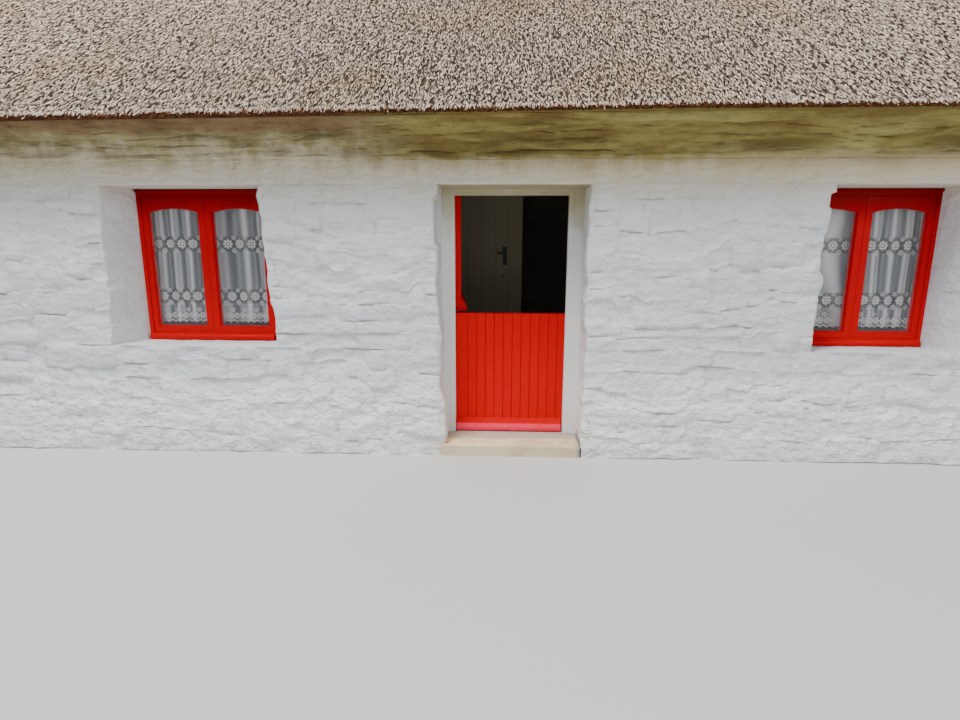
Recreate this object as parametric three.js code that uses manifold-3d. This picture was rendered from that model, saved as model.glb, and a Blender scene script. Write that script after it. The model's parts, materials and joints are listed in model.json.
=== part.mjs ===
// A single-storey thatched cottage: limewashed rubble walls, a half door between two casement windows,
// a thatched roof on timber couples and a stack on each gable. Millimetres, +Z up, front facing -Y.
// The origin is on the ground under the middle of the roof.
import * as THREE from "three";
import { mergeVertices } from "three/addons/utils/BufferGeometryUtils.js";
import Module from "manifold-3d";

const wasm = await Module();
wasm.setup();

// Driving dimensions
const GAP = 0.3; // hair gap kept where two solids meet
const CLEAR = 5; // clearance round moving leaves
const CUT = 50; // how far a cutting tool runs past the face it cuts

const WALL = { length: 9800, depth: 5200, thick: 600, top: 2300, lintel: 1894, sill: 786 };
const FLOOR_TOP = 84;
const CORBEL = [[0, 2055], [12, 2120], [50, 2200], [120, 2262], [190, 2291.5]]; // how far out, at a height
const REVEAL = 290; // from the wall's outer face to the face of a door or window frame
const DOOR_X = -111;
const WINDOW_X = 2368;

const DOOR = {
  clearWidth: 820,
  clearHeight: 1766,
  jamb: 110,
  depth: 100,
  stop: 51, // depth of the stop in front of the leaves
  lap: 15, // how far a leaf reaches behind the stop
  latchPlay: 7, // play on the latch side, where the corner of the leaf swings out
  leafThick: 44,
  boardThick: 20,
  railWidth: 95,
  meeting: 918, // height of the joint between the two leaves, above the sill
  meetingGap: 8,
  footGap: 8,
  upperOpenDegrees: 95,
};
const WEATHER_BAR = { height: 92, nose: 26, reach: 45, latchInset: 10 };
const HINGE = { pin: 5, eye: 11, bore: 5.5, strap: 5.5, strapLength: 350, strapHeight: 40, armHeight: 12, plate: 75 };

const WINDOW = {
  width: 990,
  jamb: 26,
  head: 50,
  sill: 55,
  depth: 90,
  nose: 35,
  drip: 18,
  dripHeight: 28,
  setBack: 12, // of the casements behind the face of the frame
  casementThick: 45,
  meetingStile: 57,
  paneWidth: 366,
  paneFoot: 105,
  paneSpring: 945,
  paneCrown: 972,
  paneThick: 6,
};
const CURTAIN = { halfWidth: 462, foot: 112, top: 1090, thick: 22 };

const INNER_DOOR = {
  hingeX: -755,
  hingeY: -1135,
  width: 760,
  height: 1900,
  thick: 40,
  post: 90,
  latchSide: 160, // from the free edge to the handle
  handleHeight: 1345,
};

const ROOF = {
  pitch: THREE.MathUtils.degToRad(42.5),
  overhang: 305,
  verge: 150,
  innerFoot: 2420, // where the underside of the thatch meets the wall top
  eaveTip: 2325,
  eaveFoot: 2290,
  tipLength: 40,
};
const RIDGE = { halfWidth: 480, thick: 75, crown: 110 };
const COUPLE = { width: 100, depth: 150, collarFoot: 3250, collarDepth: 150, xs: [-2400, 0, 2400] };
const STACK = { width: 900, top: 5950, coping: 50, copingFoot: 5690, copingHeight: 140, flue: 240, flueDepth: 450 };

// Materials
const finish = (color, roughness, metalness = 0) => new THREE.MeshStandardMaterial({ color, roughness, metalness });
const LIMEWASH = finish(0xe9eae8, 0.95);
const THATCH = finish(0x9a8c7c, 1.0);
const RED_PAINT = finish(0xc8100c, 0.35);
const WHITE_PAINT = finish(0xe4e3dc, 0.5);
const CREAM_PAINT = finish(0xb9b8a6, 0.55);
const TIMBER = finish(0x6b5138, 0.8);
const CONCRETE = finish(0xbcb199, 0.9);
const IRON = finish(0x25211e, 0.6, 0.7);
const GLASS = new THREE.MeshStandardMaterial({ color: 0xbfd0d6, roughness: 0.05, transparent: true, opacity: 0.3 });
const LACE = finish(0xe6e8ea, 0.95);

// A three.js geometry as a solid, and a solid as a three.js geometry.
function solidOf(geometry) {
  let merged = geometry;
  if (geometry.attributes.normal) {
    const bare = geometry.clone();
    bare.deleteAttribute("normal");
    bare.deleteAttribute("uv");
    merged = mergeVertices(bare, 1e-3);
  }
  return new wasm.Manifold(
    new wasm.Mesh({
      numProp: 3,
      vertProperties: new Float32Array(merged.attributes.position.array),
      triVerts: new Uint32Array(merged.index.array),
    }),
  );
}

function geometryOf(solid) {
  const mesh = solid.getMesh();
  const geometry = new THREE.BufferGeometry();
  geometry.setAttribute("position", new THREE.BufferAttribute(mesh.vertProperties, 3));
  geometry.setIndex(new THREE.BufferAttribute(mesh.triVerts, 1));
  return geometry;
}

const join = (...parts) => geometryOf(parts.map(solidOf).reduce((a, b) => a.add(b)));
const cut = (body, ...tools) => geometryOf(tools.map(solidOf).reduce((a, b) => a.subtract(b), solidOf(body)));

// A box from its lowest corner to its highest.
function block([x0, y0, z0], [x1, y1, z1]) {
  return new THREE.BoxGeometry(x1 - x0, y1 - y0, z1 - z0).translate((x0 + x1) / 2, (y0 + y1) / 2, (z0 + z1) / 2);
}

const outline = (points) => new THREE.Shape(points.map(([a, b]) => new THREE.Vector2(a, b)));
const extrude = (shape, depth) =>
  new THREE.ExtrudeGeometry(shape, { depth, bevelEnabled: false, curveSegments: 10, steps: 1 });

const AXIS_X = new THREE.Vector3(1, 0, 0);
const AXIS_Y = new THREE.Vector3(0, 1, 0);
const AXIS_Z = new THREE.Vector3(0, 0, 1);
const PROFILE_ALONG_X = new THREE.Matrix4().makeBasis(AXIS_Y, AXIS_Z, AXIS_X);
const PROFILE_ALONG_Y = new THREE.Matrix4().makeBasis(AXIS_X, AXIS_Z, AXIS_Y.clone().negate());

// Prisms: a plan (x, y) carried up, a section (y, z) carried along X, and an elevation (x, z) carried along Y.
const rise = (points, z0, z1) => extrude(outline(points), z1 - z0).translate(0, 0, z0);
const run = (points, x0, x1) => extrude(outline(points), x1 - x0).applyMatrix4(PROFILE_ALONG_X).translate(x0, 0, 0);
const carry = (shape, y0, y1) => extrude(shape, y1 - y0).applyMatrix4(PROFILE_ALONG_Y).translate(0, y1, 0);

function upright(radius, x, y, z0, z1) {
  return new THREE.CylinderGeometry(radius, radius, z1 - z0, 24).rotateX(Math.PI / 2).translate(x, y, (z0 + z1) / 2);
}

function mesh(name, geometry, material) {
  const made = new THREE.Mesh(geometry, material);
  made.name = name;
  return made;
}

// Walls
const END_X = WALL.length / 2;
const FACE_Y = WALL.depth / 2;
const INNER_X = END_X - WALL.thick;
const INNER_Y = FACE_Y - WALL.thick;
const FRAME_Y = -FACE_Y + REVEAL;

// Half the plan of a window opening, from the outer face to the inner one: [distance from the middle, y].
// lap is how far the masonry stands over the face of the frame, or how far it opens outwards where negative.
function openingSide(lap) {
  const half = WINDOW.width / 2 + GAP;
  const atFrame = lap > 0 ? half - lap + 12 : half;
  const side = [
    [half - lap, -FACE_Y - CUT],
    [half - lap, -FACE_Y],
    [atFrame, FRAME_Y - GAP],
    [half, FRAME_Y - GAP],
    [half, FRAME_Y + WINDOW.depth],
    [half + 96, -INNER_Y],
    [half + 96, -INNER_Y + CUT],
  ];
  return side.filter((p, i) => i === 0 || p[0] !== side[i - 1][0] || p[1] !== side[i - 1][1]);
}

function windowOpening(x, leftLap, rightLap, top) {
  const left = openingSide(leftLap).map(([d, y]) => [x - d, y]);
  const right = openingSide(rightLap).map(([d, y]) => [x + d, y]);
  return rise([...right, ...left.reverse()], WALL.sill, top);
}

const SPLAY = -62; // an opening wider at the outer face than at the frame
const CHECK = 106; // masonry standing over the left edge of the right-hand window

const DOOR_OUTER = DOOR.clearWidth / 2 + DOOR.jamb;
const DOORWAY = {
  left: DOOR_X - DOOR_OUTER + 16,
  right: DOOR_X + DOOR_OUTER + 6,
  frameLeft: DOOR_X - DOOR_OUTER - GAP,
  frameRight: DOOR_X + DOOR_OUTER + GAP,
  innerLeft: -700,
  innerRight: 480,
  frameBack: FRAME_Y + DOOR.depth,
};

function frontWallLeft() {
  const plan = [
    [-END_X, -FACE_Y],
    [DOORWAY.left, -FACE_Y],
    [DOORWAY.left, FRAME_Y - GAP],
    [DOORWAY.frameLeft, FRAME_Y - GAP],
    [DOORWAY.frameLeft, DOORWAY.frameBack],
    [DOORWAY.innerLeft, DOORWAY.frameBack],
    [DOORWAY.innerLeft, -INNER_Y],
    [-END_X, -INNER_Y],
  ];
  return cut(rise(plan, 0, WALL.lintel), windowOpening(-WINDOW_X, SPLAY, SPLAY, WALL.lintel + CUT));
}

function frontWallRight() {
  const plan = [
    [DOORWAY.right, -FACE_Y],
    [END_X, -FACE_Y],
    [END_X, -INNER_Y],
    [DOORWAY.innerRight, -INNER_Y],
    [DOORWAY.innerRight, DOORWAY.frameBack],
    [DOORWAY.frameRight, DOORWAY.frameBack],
    [DOORWAY.frameRight, FRAME_Y - GAP],
  ];
  return cut(rise(plan, 0, WALL.lintel), windowOpening(WINDOW_X, CHECK, SPLAY, WALL.lintel + CUT));
}

// The stones at the top of a long wall lean out under the thatch, up to the wall top.
function wallSection(foot) {
  const out = CORBEL.map(([reach, z]) => [-FACE_Y - reach, z]);
  return [[-INNER_Y, foot], [-INNER_Y, WALL.top], [-FACE_Y, WALL.top], [-FACE_Y - CUT, 2295.9], ...out.reverse(), [-FACE_Y, foot]];
}

function frontWallHead() {
  return run(wallSection(WALL.lintel + GAP), -END_X, END_X);
}

function backWall() {
  const wall = run(wallSection(0), -END_X, END_X).rotateZ(Math.PI);
  const opening = (x) => windowOpening(x, SPLAY, SPLAY, WALL.lintel).rotateZ(Math.PI);
  return cut(wall, opening(-WINDOW_X), opening(WINDOW_X));
}

const TAN = Math.tan(ROOF.pitch);
const EAVE_Y = FACE_Y + ROOF.overhang;
const OUTER_APEX = ROOF.eaveTip + EAVE_Y * TAN;
const INNER_APEX = WALL.top + ROOF.innerFoot * TAN;
const outerZ = (y) => OUTER_APEX - Math.abs(y) * TAN; // top of the thatch
const innerZ = (y) => INNER_APEX - Math.abs(y) * TAN; // underside of the thatch
const STACK_FOOT = innerZ(STACK.width / 2);

function gableWall(x0, x1) {
  const top = WALL.top + GAP;
  const half = STACK.width / 2;
  const foot = ROOF.innerFoot - (2 * GAP) / TAN;
  const right = [
    [INNER_Y - GAP, 0],
    [INNER_Y - GAP, top],
    [foot, top],
    [half, innerZ(half) - GAP],
  ];
  const left = right.map(([y, z]) => [-y, z]).reverse();
  return run([...right, ...left], x0, x1);
}

function floorSlab() {
  const x = INNER_X - GAP;
  const y = INNER_Y - GAP;
  const plan = [
    [-x, -y],
    [DOORWAY.innerLeft + GAP, -y],
    [DOORWAY.innerLeft + GAP, DOORWAY.frameBack + GAP],
    [DOORWAY.innerRight - GAP, DOORWAY.frameBack + GAP],
    [DOORWAY.innerRight - GAP, -y],
    [x, -y],
    [x, y],
    [-x, y],
  ];
  return rise(plan, 0, FLOOR_TOP);
}

function doorstep() {
  const nosing = 17; // how far the step stands out from the wall
  return block(
    [DOORWAY.left + GAP, -FACE_Y - nosing, 0],
    [DOORWAY.frameRight - 2 * GAP, DOORWAY.frameBack, FLOOR_TOP],
  );
}

// Half door. x from the middle of the doorway, y inwards from the face of the frame, z from the sill.
const HALF_CLEAR = DOOR.clearWidth / 2;
const LEAF_HALF = HALF_CLEAR + DOOR.lap;
const LEAF_BACK = DOOR.depth;
const LEAF_FACE = LEAF_BACK - DOOR.leafThick;
const PIVOT = { x: -LEAF_HALF - CLEAR / 2, y: LEAF_BACK + HINGE.eye + 0.5 };
const LOWER = { foot: DOOR.footGap, top: DOOR.meeting - DOOR.meetingGap / 2 };
const UPPER = { foot: DOOR.meeting + DOOR.meetingGap / 2, top: DOOR.clearHeight + DOOR.lap };

function doorFrame() {
  const top = WALL.lintel - FLOOR_TOP - GAP;
  const jamb = (side, play) =>
    rise(
      [
        [side * HALF_CLEAR, 0],
        [side * DOOR_OUTER, 0],
        [side * DOOR_OUTER, DOOR.depth],
        [side * (LEAF_HALF + play), DOOR.depth],
        [side * (LEAF_HALF + play), DOOR.stop],
        [side * HALF_CLEAR, DOOR.stop],
      ],
      GAP,
      top,
    );
  const headSection = [
    [0, DOOR.clearHeight],
    [DOOR.stop, DOOR.clearHeight],
    [DOOR.stop, UPPER.top + CLEAR],
    [DOOR.depth, UPPER.top + CLEAR],
    [DOOR.depth, top],
    [0, top],
  ];
  return join(jamb(-1, CLEAR), jamb(1, DOOR.latchPlay), run(headSection, -DOOR_OUTER, DOOR_OUTER));
}

// A leaf of upright boards on a frame of stiles and rails, which shows on the inside.
function leaf({ foot, top }) {
  const panel = DOOR.leafThick - DOOR.boardThick;
  const pocket = block(
    [-LEAF_HALF + DOOR.railWidth, LEAF_BACK - panel, foot + DOOR.railWidth],
    [LEAF_HALF - DOOR.railWidth, LEAF_BACK + CUT, top - DOOR.railWidth],
  );
  return cut(block([-LEAF_HALF, LEAF_FACE, foot], [LEAF_HALF, LEAF_BACK, top]), pocket);
}

// The sloped board along the foot of a leaf that throws water off.
function weatherBar(foot) {
  const face = LEAF_FACE - GAP;
  const section = [
    [face, foot],
    [face, foot + WEATHER_BAR.height],
    [face - 12, foot + WEATHER_BAR.height],
    [face - WEATHER_BAR.reach, foot + WEATHER_BAR.nose],
    [face - WEATHER_BAR.reach, foot],
  ];
  return run(section, -HALF_CLEAR + CLEAR, HALF_CLEAR - WEATHER_BAR.latchInset);
}

function strapHinge(z) {
  const back = LEAF_BACK + 0.5;
  const strap = block(
    [PIVOT.x + HINGE.bore, back, z],
    [PIVOT.x + HINGE.strapLength, back + HINGE.strap, z + HINGE.strapHeight],
  );
  const eye = upright(HINGE.eye, PIVOT.x, PIVOT.y, z, z + HINGE.strapHeight);
  const bore = upright(HINGE.bore, PIVOT.x, PIVOT.y, z - CUT, z + HINGE.strapHeight + CUT);
  return cut(join(strap, eye), bore);
}

// A hook: a plate on the jamb, an arm under the eye of the strap, and the pin that stands in it.
function hook(z) {
  const back = LEAF_BACK + GAP;
  const armFoot = z - HINGE.armHeight - 2;
  const plateEdge = PIVOT.x - HINGE.eye - CLEAR;
  const plate = block(
    [plateEdge - HINGE.plate, back, armFoot],
    [plateEdge, back + HINGE.strap, z + HINGE.strapHeight],
  );
  const arm = block([plateEdge - 10, back, armFoot], [PIVOT.x + HINGE.pin, PIVOT.y + HINGE.pin, z - 2]);
  const pin = upright(HINGE.pin, PIVOT.x, PIVOT.y, armFoot + 1, z + HINGE.strapHeight + 8);
  return join(plate, arm, pin);
}

function turned(geometry, degrees) {
  return geometry
    .translate(-PIVOT.x, -PIVOT.y, 0)
    .rotateZ(THREE.MathUtils.degToRad(degrees))
    .translate(PIVOT.x, PIVOT.y, 0);
}

function fixedHinge(z) {
  return join(hook(z), turned(strapHinge(z), DOOR.upperOpenDegrees), upright(HINGE.bore + 1, PIVOT.x, PIVOT.y, z, z + 9));
}

function halfDoor() {
  const door = new THREE.Group();
  door.position.set(DOOR_X, FRAME_Y, FLOOR_TOP);
  const hingeInset = 70; // from the end of a leaf to its hinge
  const lowerHinges = { bottom: LOWER.foot + hingeInset, top: LOWER.top - hingeInset - HINGE.strapHeight };
  const upperHinges = { bottom: UPPER.foot + hingeInset, top: UPPER.top - hingeInset - HINGE.strapHeight };
  door.add(mesh("door_frame", doorFrame(), WHITE_PAINT));
  door.add(mesh("lower_leaf", leaf(LOWER), RED_PAINT));
  door.add(mesh("lower_weather_bar", weatherBar(LOWER.foot), RED_PAINT));
  for (const [place, z] of Object.entries(lowerHinges)) {
    door.add(mesh(`lower_strap_${place}`, strapHinge(z), IRON));
    door.add(mesh(`lower_hook_${place}`, hook(z), IRON));
  }
  for (const [place, z] of Object.entries(upperHinges)) {
    door.add(mesh(`upper_hinge_${place}`, fixedHinge(z), IRON));
  }
  // The upper leaf stands open, turned about the pins of its hinges.
  const open = new THREE.Group();
  open.position.set(PIVOT.x, PIVOT.y, 0);
  open.rotation.z = THREE.MathUtils.degToRad(DOOR.upperOpenDegrees);
  const atPivot = (geometry) => geometry.translate(-PIVOT.x, -PIVOT.y, 0);
  open.add(mesh("upper_leaf", atPivot(leaf(UPPER)), RED_PAINT));
  open.add(mesh("upper_weather_bar", atPivot(weatherBar(UPPER.foot)), RED_PAINT));
  door.add(open);
  return door;
}

// Inner door: a boarded door standing open behind the doorway, on the near post of a frame across the room.
// x and y from the line of its hinge pins, z from the floor.
const INNER_PIN = { radius: 5, eye: 10, bore: 5.5, height: 60 };
const INNER_HINGE_HEIGHTS = { bottom: 250, top: 1650 };
const INNER_FACE_X = -3 * CLEAR; // room side of the posts
const INNER_HEEL = 13; // from the pins to the hinged edge of the leaf

function innerDoorFrame() {
  const { post, height, width, thick } = INNER_DOOR;
  const x0 = INNER_FACE_X - post;
  const near = INNER_HEEL - 2 * CLEAR;
  const far = Math.hypot(width, thick + CLEAR) + 2 * CLEAR;
  const top = DOOR.footGap + height + 2 * CLEAR + post;
  return join(
    block([x0, near - post, GAP], [INNER_FACE_X, near, top]),
    block([x0, far, GAP], [INNER_FACE_X, far + post, top]),
    block([x0, near - post, top - post], [INNER_FACE_X, far + post, top]),
  );
}

function innerDoorLeaf() {
  const { width, height, thick } = INNER_DOOR;
  const strapLength = 320;
  const eyes = [];
  const bores = [];
  for (const z of Object.values(INNER_HINGE_HEIGHTS)) {
    eyes.push(upright(INNER_PIN.eye, 0, 0, z, z + INNER_PIN.height));
    eyes.push(block([0, 0, z + 10], [strapLength, CLEAR + 1, z + INNER_PIN.height - 10]));
    bores.push(upright(INNER_PIN.bore, 0, 0, z - CUT, z + INNER_PIN.height + CUT));
  }
  const boards = block([INNER_HEEL, CLEAR, DOOR.footGap], [width, CLEAR + thick, DOOR.footGap + height]);
  return cut(join(boards, ...eyes), ...bores);
}

// A plate on the post, an arm under the eye and the pin that stands in it.
function innerHinge(z) {
  const x0 = INNER_FACE_X + GAP;
  const armFoot = z - 14;
  return join(
    block([x0, -60, armFoot], [x0 + 5, -18, z + INNER_PIN.height]),
    block([x0, -30, armFoot], [INNER_PIN.radius, INNER_PIN.radius, z - 2]),
    upright(INNER_PIN.radius, 0, 0, armFoot + 1, z + INNER_PIN.height + 8),
  );
}

// A latch handle: a back plate, a short neck and a bar.
function innerDoorHandle() {
  const x = INNER_DOOR.width - INNER_DOOR.latchSide;
  const face = CLEAR - GAP;
  const z = INNER_DOOR.handleHeight;
  return join(
    block([x - 20, face - 5, z - 110], [x + 20, face, z + 60]),
    block([x - 8, face - 40, z - 8], [x + 8, face - 4, z + 8]),
    block([x - 75, face - 52, z - 9], [x + 9, face - 38, z + 9]),
  );
}

function innerDoor() {
  const door = new THREE.Group();
  door.position.set(INNER_DOOR.hingeX, INNER_DOOR.hingeY, FLOOR_TOP);
  door.add(mesh("inner_door_frame", innerDoorFrame(), TIMBER));
  door.add(mesh("inner_door_leaf", innerDoorLeaf(), CREAM_PAINT));
  door.add(mesh("inner_door_handle", innerDoorHandle(), IRON));
  for (const [place, z] of Object.entries(INNER_HINGE_HEIGHTS)) {
    door.add(mesh(`inner_hinge_${place}`, innerHinge(z), IRON));
  }
  return door;
}

// Windows. x from the middle, y inwards from the face of the frame, z from the masonry sill.
const FRAME_TOP = WALL.lintel - WALL.sill - GAP;
const LIGHT = { half: WINDOW.width / 2 - WINDOW.jamb, foot: WINDOW.sill, top: FRAME_TOP - WINDOW.head };

const rectangle = (x0, z0, x1, z1) => [
  [x0, z0],
  [x1, z0],
  [x1, z1],
  [x0, z1],
];

// A frame with its sill nosing and drip moulding, which stop at the masonry where that laps the frame.
function windowFrame(lap = 0) {
  const half = WINDOW.width / 2;
  const left = lap > 0 ? -half + lap - 8 : -half + 3;
  const ring = outline(rectangle(-half, GAP, half, FRAME_TOP));
  ring.holes.push(outline(rectangle(-LIGHT.half, LIGHT.foot, LIGHT.half, LIGHT.top)));
  const nose = block([left + 12, -WINDOW.nose, 2], [half - 15, 5, WINDOW.sill - 7]);
  const drip = block([left, -WINDOW.drip, FRAME_TOP - WINDOW.dripHeight], [half - 3, 5, FRAME_TOP - 2]);
  return join(carry(ring, 0, WINDOW.depth), nose, drip);
}

// The glazed opening of a casement, square below and with a shallow arch above, drawn in by inset.
function panePoints(inset) {
  const x0 = WINDOW.meetingStile + inset;
  const x1 = WINDOW.meetingStile + WINDOW.paneWidth - inset;
  const spring = WINDOW.paneSpring - inset;
  const rise = WINDOW.paneCrown - WINDOW.paneSpring;
  const steps = 8;
  const arch = [];
  for (let i = 0; i <= steps; i++) {
    const t = i / steps;
    arch.push([x1 + (x0 - x1) * t, spring + 4 * rise * t * (1 - t)]);
  }
  return [[x0, WINDOW.paneFoot + inset], [x1, WINDOW.paneFoot + inset], ...arch];
}

function casement() {
  const edge = 0.5;
  const ring = outline(rectangle(edge, LIGHT.foot + edge, LIGHT.half - edge, LIGHT.top - edge));
  ring.holes.push(outline(panePoints(0)));
  return carry(ring, WINDOW.setBack, WINDOW.setBack + WINDOW.casementThick);
}

function pane() {
  const y = WINDOW.setBack + (WINDOW.casementThick - WINDOW.paneThick) / 2;
  return carry(outline(panePoints(GAP)), y, y + WINDOW.paneThick);
}

const toLeft = (geometry) => geometry.rotateZ(Math.PI).translate(0, 2 * WINDOW.setBack + WINDOW.casementThick, 0);

function curtain() {
  const y = WINDOW.depth + GAP;
  return block([-CURTAIN.halfWidth, y, CURTAIN.foot], [CURTAIN.halfWidth, y + CURTAIN.thick, CURTAIN.top]);
}

function frontWindow(side, x, lap) {
  const opening = new THREE.Group();
  opening.position.set(x, FRAME_Y, WALL.sill);
  opening.add(mesh(`${side}_window_frame`, windowFrame(lap), RED_PAINT));
  opening.add(mesh(`${side}_window_casement_left`, toLeft(casement()), RED_PAINT));
  opening.add(mesh(`${side}_window_casement_right`, casement(), RED_PAINT));
  opening.add(mesh(`${side}_window_pane_left`, toLeft(pane()), GLASS));
  opening.add(mesh(`${side}_window_pane_right`, pane(), GLASS));
  opening.add(mesh(`${side}_curtain`, curtain(), LACE));
  return opening;
}

// A back window has its casements and frame in one piece, and one sheet of glass behind both lights.
function backWindow(side, x) {
  const opening = new THREE.Group();
  opening.position.set(x, -FRAME_Y, WALL.sill);
  opening.rotation.z = Math.PI;
  const lap = 2; // the lights lap each other and the frame, so that they join
  const y1 = WINDOW.setBack + WINDOW.casementThick;
  const light = outline(rectangle(-lap, LIGHT.foot - lap, LIGHT.half + lap, LIGHT.top + lap));
  light.holes.push(outline(panePoints(0)));
  const right = carry(light, WINDOW.setBack, y1);
  const frame = join(windowFrame(), right, toLeft(right.clone()));
  const sheet = block(
    [-LIGHT.half + GAP, y1 + GAP, LIGHT.foot + GAP],
    [LIGHT.half - GAP, y1 + GAP + WINDOW.paneThick, LIGHT.top - GAP],
  );
  opening.add(mesh(`back_window_frame_${side}`, frame, RED_PAINT));
  opening.add(mesh(`back_window_glass_${side}`, sheet, GLASS));
  return opening;
}

// Roof
const VERGE_X = END_X + ROOF.verge;

// One slope of thatch, with a notch at each end where a stack comes up through it.
function thatchSlope() {
  const rest = WALL.top + GAP;
  const section = [
    [-EAVE_Y + ROOF.tipLength, ROOF.eaveFoot],
    [-FACE_Y - CUT, rest - 4],
    [-FACE_Y, rest],
    [-ROOF.innerFoot, rest],
    [-GAP, innerZ(0) + GAP],
    [-GAP, outerZ(0)],
    [-EAVE_Y, ROOF.eaveTip],
    [-EAVE_Y + 8, ROOF.eaveTip - 22],
  ];
  const notch = (x0, x1) =>
    block([x0, -STACK.width / 2 - GAP, STACK_FOOT - CUT], [x1, CUT, OUTER_APEX + CUT]);
  return cut(
    run(section, -VERGE_X, VERGE_X),
    notch(-VERGE_X - CUT, -INNER_X + GAP),
    notch(INNER_X - GAP, VERGE_X + CUT),
  );
}

function thatchRidge() {
  const side = [
    [RIDGE.halfWidth, outerZ(RIDGE.halfWidth) + GAP],
    [RIDGE.halfWidth + 20, outerZ(RIDGE.halfWidth) + RIDGE.thick * 0.6],
    [RIDGE.halfWidth - 20, outerZ(RIDGE.halfWidth) + RIDGE.thick + 18],
    [190, outerZ(190) + RIDGE.thick + 6],
    [110, outerZ(110) + RIDGE.thick - 16],
    [45, OUTER_APEX + RIDGE.crown - 80],
  ];
  const left = side.map(([y, z]) => [-y, z]).reverse();
  return run([[0, OUTER_APEX + GAP], ...side, ...left], -INNER_X + GAP, INNER_X - GAP);
}

// A couple: two rafters and a collar, standing on the wall tops under the thatch.
function couple(x) {
  const seat = WALL.top + GAP;
  const drop = COUPLE.depth / Math.cos(ROOF.pitch); // depth of a rafter measured plumb
  const topZ = (y) => innerZ(y) - GAP;
  const lowZ = (y) => innerZ(y) - GAP - drop;
  const footOuter = (INNER_APEX - GAP - seat) / TAN;
  const footInner = footOuter - drop / TAN;
  const half = (z) => (lowZ(0) - z) / TAN; // half the width between the rafters at a height
  const collarTop = COUPLE.collarFoot + COUPLE.collarDepth;
  const frame = outline([
    [-footOuter, seat],
    [-footInner, seat],
    [-half(COUPLE.collarFoot), COUPLE.collarFoot],
    [half(COUPLE.collarFoot), COUPLE.collarFoot],
    [footInner, seat],
    [footOuter, seat],
    [0, topZ(0)],
  ]);
  frame.holes.push(
    outline([
      [-half(collarTop), collarTop],
      [half(collarTop), collarTop],
      [0, lowZ(0)],
    ]),
  );
  return extrude(frame, COUPLE.width).applyMatrix4(PROFILE_ALONG_X).translate(x - COUPLE.width / 2, 0, 0);
}

function chimney(side) {
  const half = STACK.width / 2;
  const x0 = side * INNER_X;
  const x1 = side * END_X;
  const low = Math.min(x0, x1);
  const high = Math.max(x0, x1);
  const middle = (low + high) / 2;
  const flue = STACK.flue / 2;
  const out = STACK.coping;
  return cut(
    join(
      block([low, -half, STACK_FOOT], [high, half, STACK.top]),
      block([low - out, -half - out, STACK.copingFoot], [high + out, half + out, STACK.copingFoot + STACK.copingHeight]),
    ),
    block([middle - flue, -flue, STACK.top - STACK.flueDepth], [middle + flue, flue, STACK.top + CUT]),
  );
}

function walls() {
  const group = new THREE.Group();
  group.add(mesh("front_wall_left", frontWallLeft(), LIMEWASH));
  group.add(mesh("front_wall_right", frontWallRight(), LIMEWASH));
  group.add(mesh("front_wall_head", frontWallHead(), LIMEWASH));
  group.add(mesh("back_wall", backWall(), LIMEWASH));
  group.add(mesh("gable_wall_left", gableWall(-END_X, -INNER_X), LIMEWASH));
  group.add(mesh("gable_wall_right", gableWall(INNER_X, END_X), LIMEWASH));
  group.add(mesh("floor_slab", floorSlab(), CONCRETE));
  group.add(mesh("doorstep", doorstep(), CONCRETE));
  return group;
}

function roof() {
  const group = new THREE.Group();
  group.add(mesh("thatch_front", thatchSlope(), THATCH));
  const back = mesh("thatch_back", thatchSlope(), THATCH);
  back.rotation.z = Math.PI;
  group.add(back);
  group.add(mesh("thatch_ridge", thatchRidge(), THATCH));
  COUPLE.xs.forEach((x, i) => group.add(mesh(`roof_couple_${i + 1}`, couple(x), TIMBER)));
  group.add(mesh("chimney_left", chimney(-1), LIMEWASH));
  group.add(mesh("chimney_right", chimney(1), LIMEWASH));
  return group;
}

const cottage = new THREE.Group();
cottage.add(walls(), halfDoor(), innerDoor(), roof());
cottage.add(frontWindow("left", -WINDOW_X, 0), frontWindow("right", WINDOW_X, CHECK));
cottage.add(backWindow("left", WINDOW_X), backWindow("right", -WINDOW_X));

export default cottage;
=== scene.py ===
"""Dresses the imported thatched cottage: limewashed rubble, reed thatch, painted joinery, lace and glass.

Every shape is worked out with numpy on grids, in metres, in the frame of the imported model: ground at z = 0,
front wall facing -Y and the origin under the middle of the roof. Pieces that face other ways are built facing
-Y and turned at the end.
"""

import json
import logging
import math
from collections.abc import Callable, Iterable, Iterator
from dataclasses import dataclass, field
from enum import Enum

import bpy
import numpy as np
from mathutils import Euler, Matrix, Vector

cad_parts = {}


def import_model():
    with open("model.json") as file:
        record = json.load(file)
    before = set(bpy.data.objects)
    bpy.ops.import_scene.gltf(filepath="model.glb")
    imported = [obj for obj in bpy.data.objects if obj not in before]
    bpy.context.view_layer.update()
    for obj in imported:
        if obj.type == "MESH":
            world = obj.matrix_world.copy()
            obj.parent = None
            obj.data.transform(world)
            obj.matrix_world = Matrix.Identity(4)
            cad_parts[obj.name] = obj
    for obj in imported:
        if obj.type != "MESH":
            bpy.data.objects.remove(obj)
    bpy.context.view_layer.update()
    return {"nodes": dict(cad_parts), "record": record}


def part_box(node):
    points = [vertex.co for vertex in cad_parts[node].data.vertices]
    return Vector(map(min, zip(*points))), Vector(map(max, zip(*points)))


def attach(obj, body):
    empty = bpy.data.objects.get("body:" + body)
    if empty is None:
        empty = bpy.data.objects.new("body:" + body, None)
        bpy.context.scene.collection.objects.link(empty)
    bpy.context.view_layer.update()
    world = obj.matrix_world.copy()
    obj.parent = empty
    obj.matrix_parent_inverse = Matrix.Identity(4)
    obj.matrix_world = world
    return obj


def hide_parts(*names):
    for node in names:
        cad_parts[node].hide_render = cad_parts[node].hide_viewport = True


LOG = logging.getLogger("cottage")

Numbers = float | np.ndarray
Pairs = tuple[tuple[float, float], ...]
Triple = tuple[float, float, float]

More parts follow.
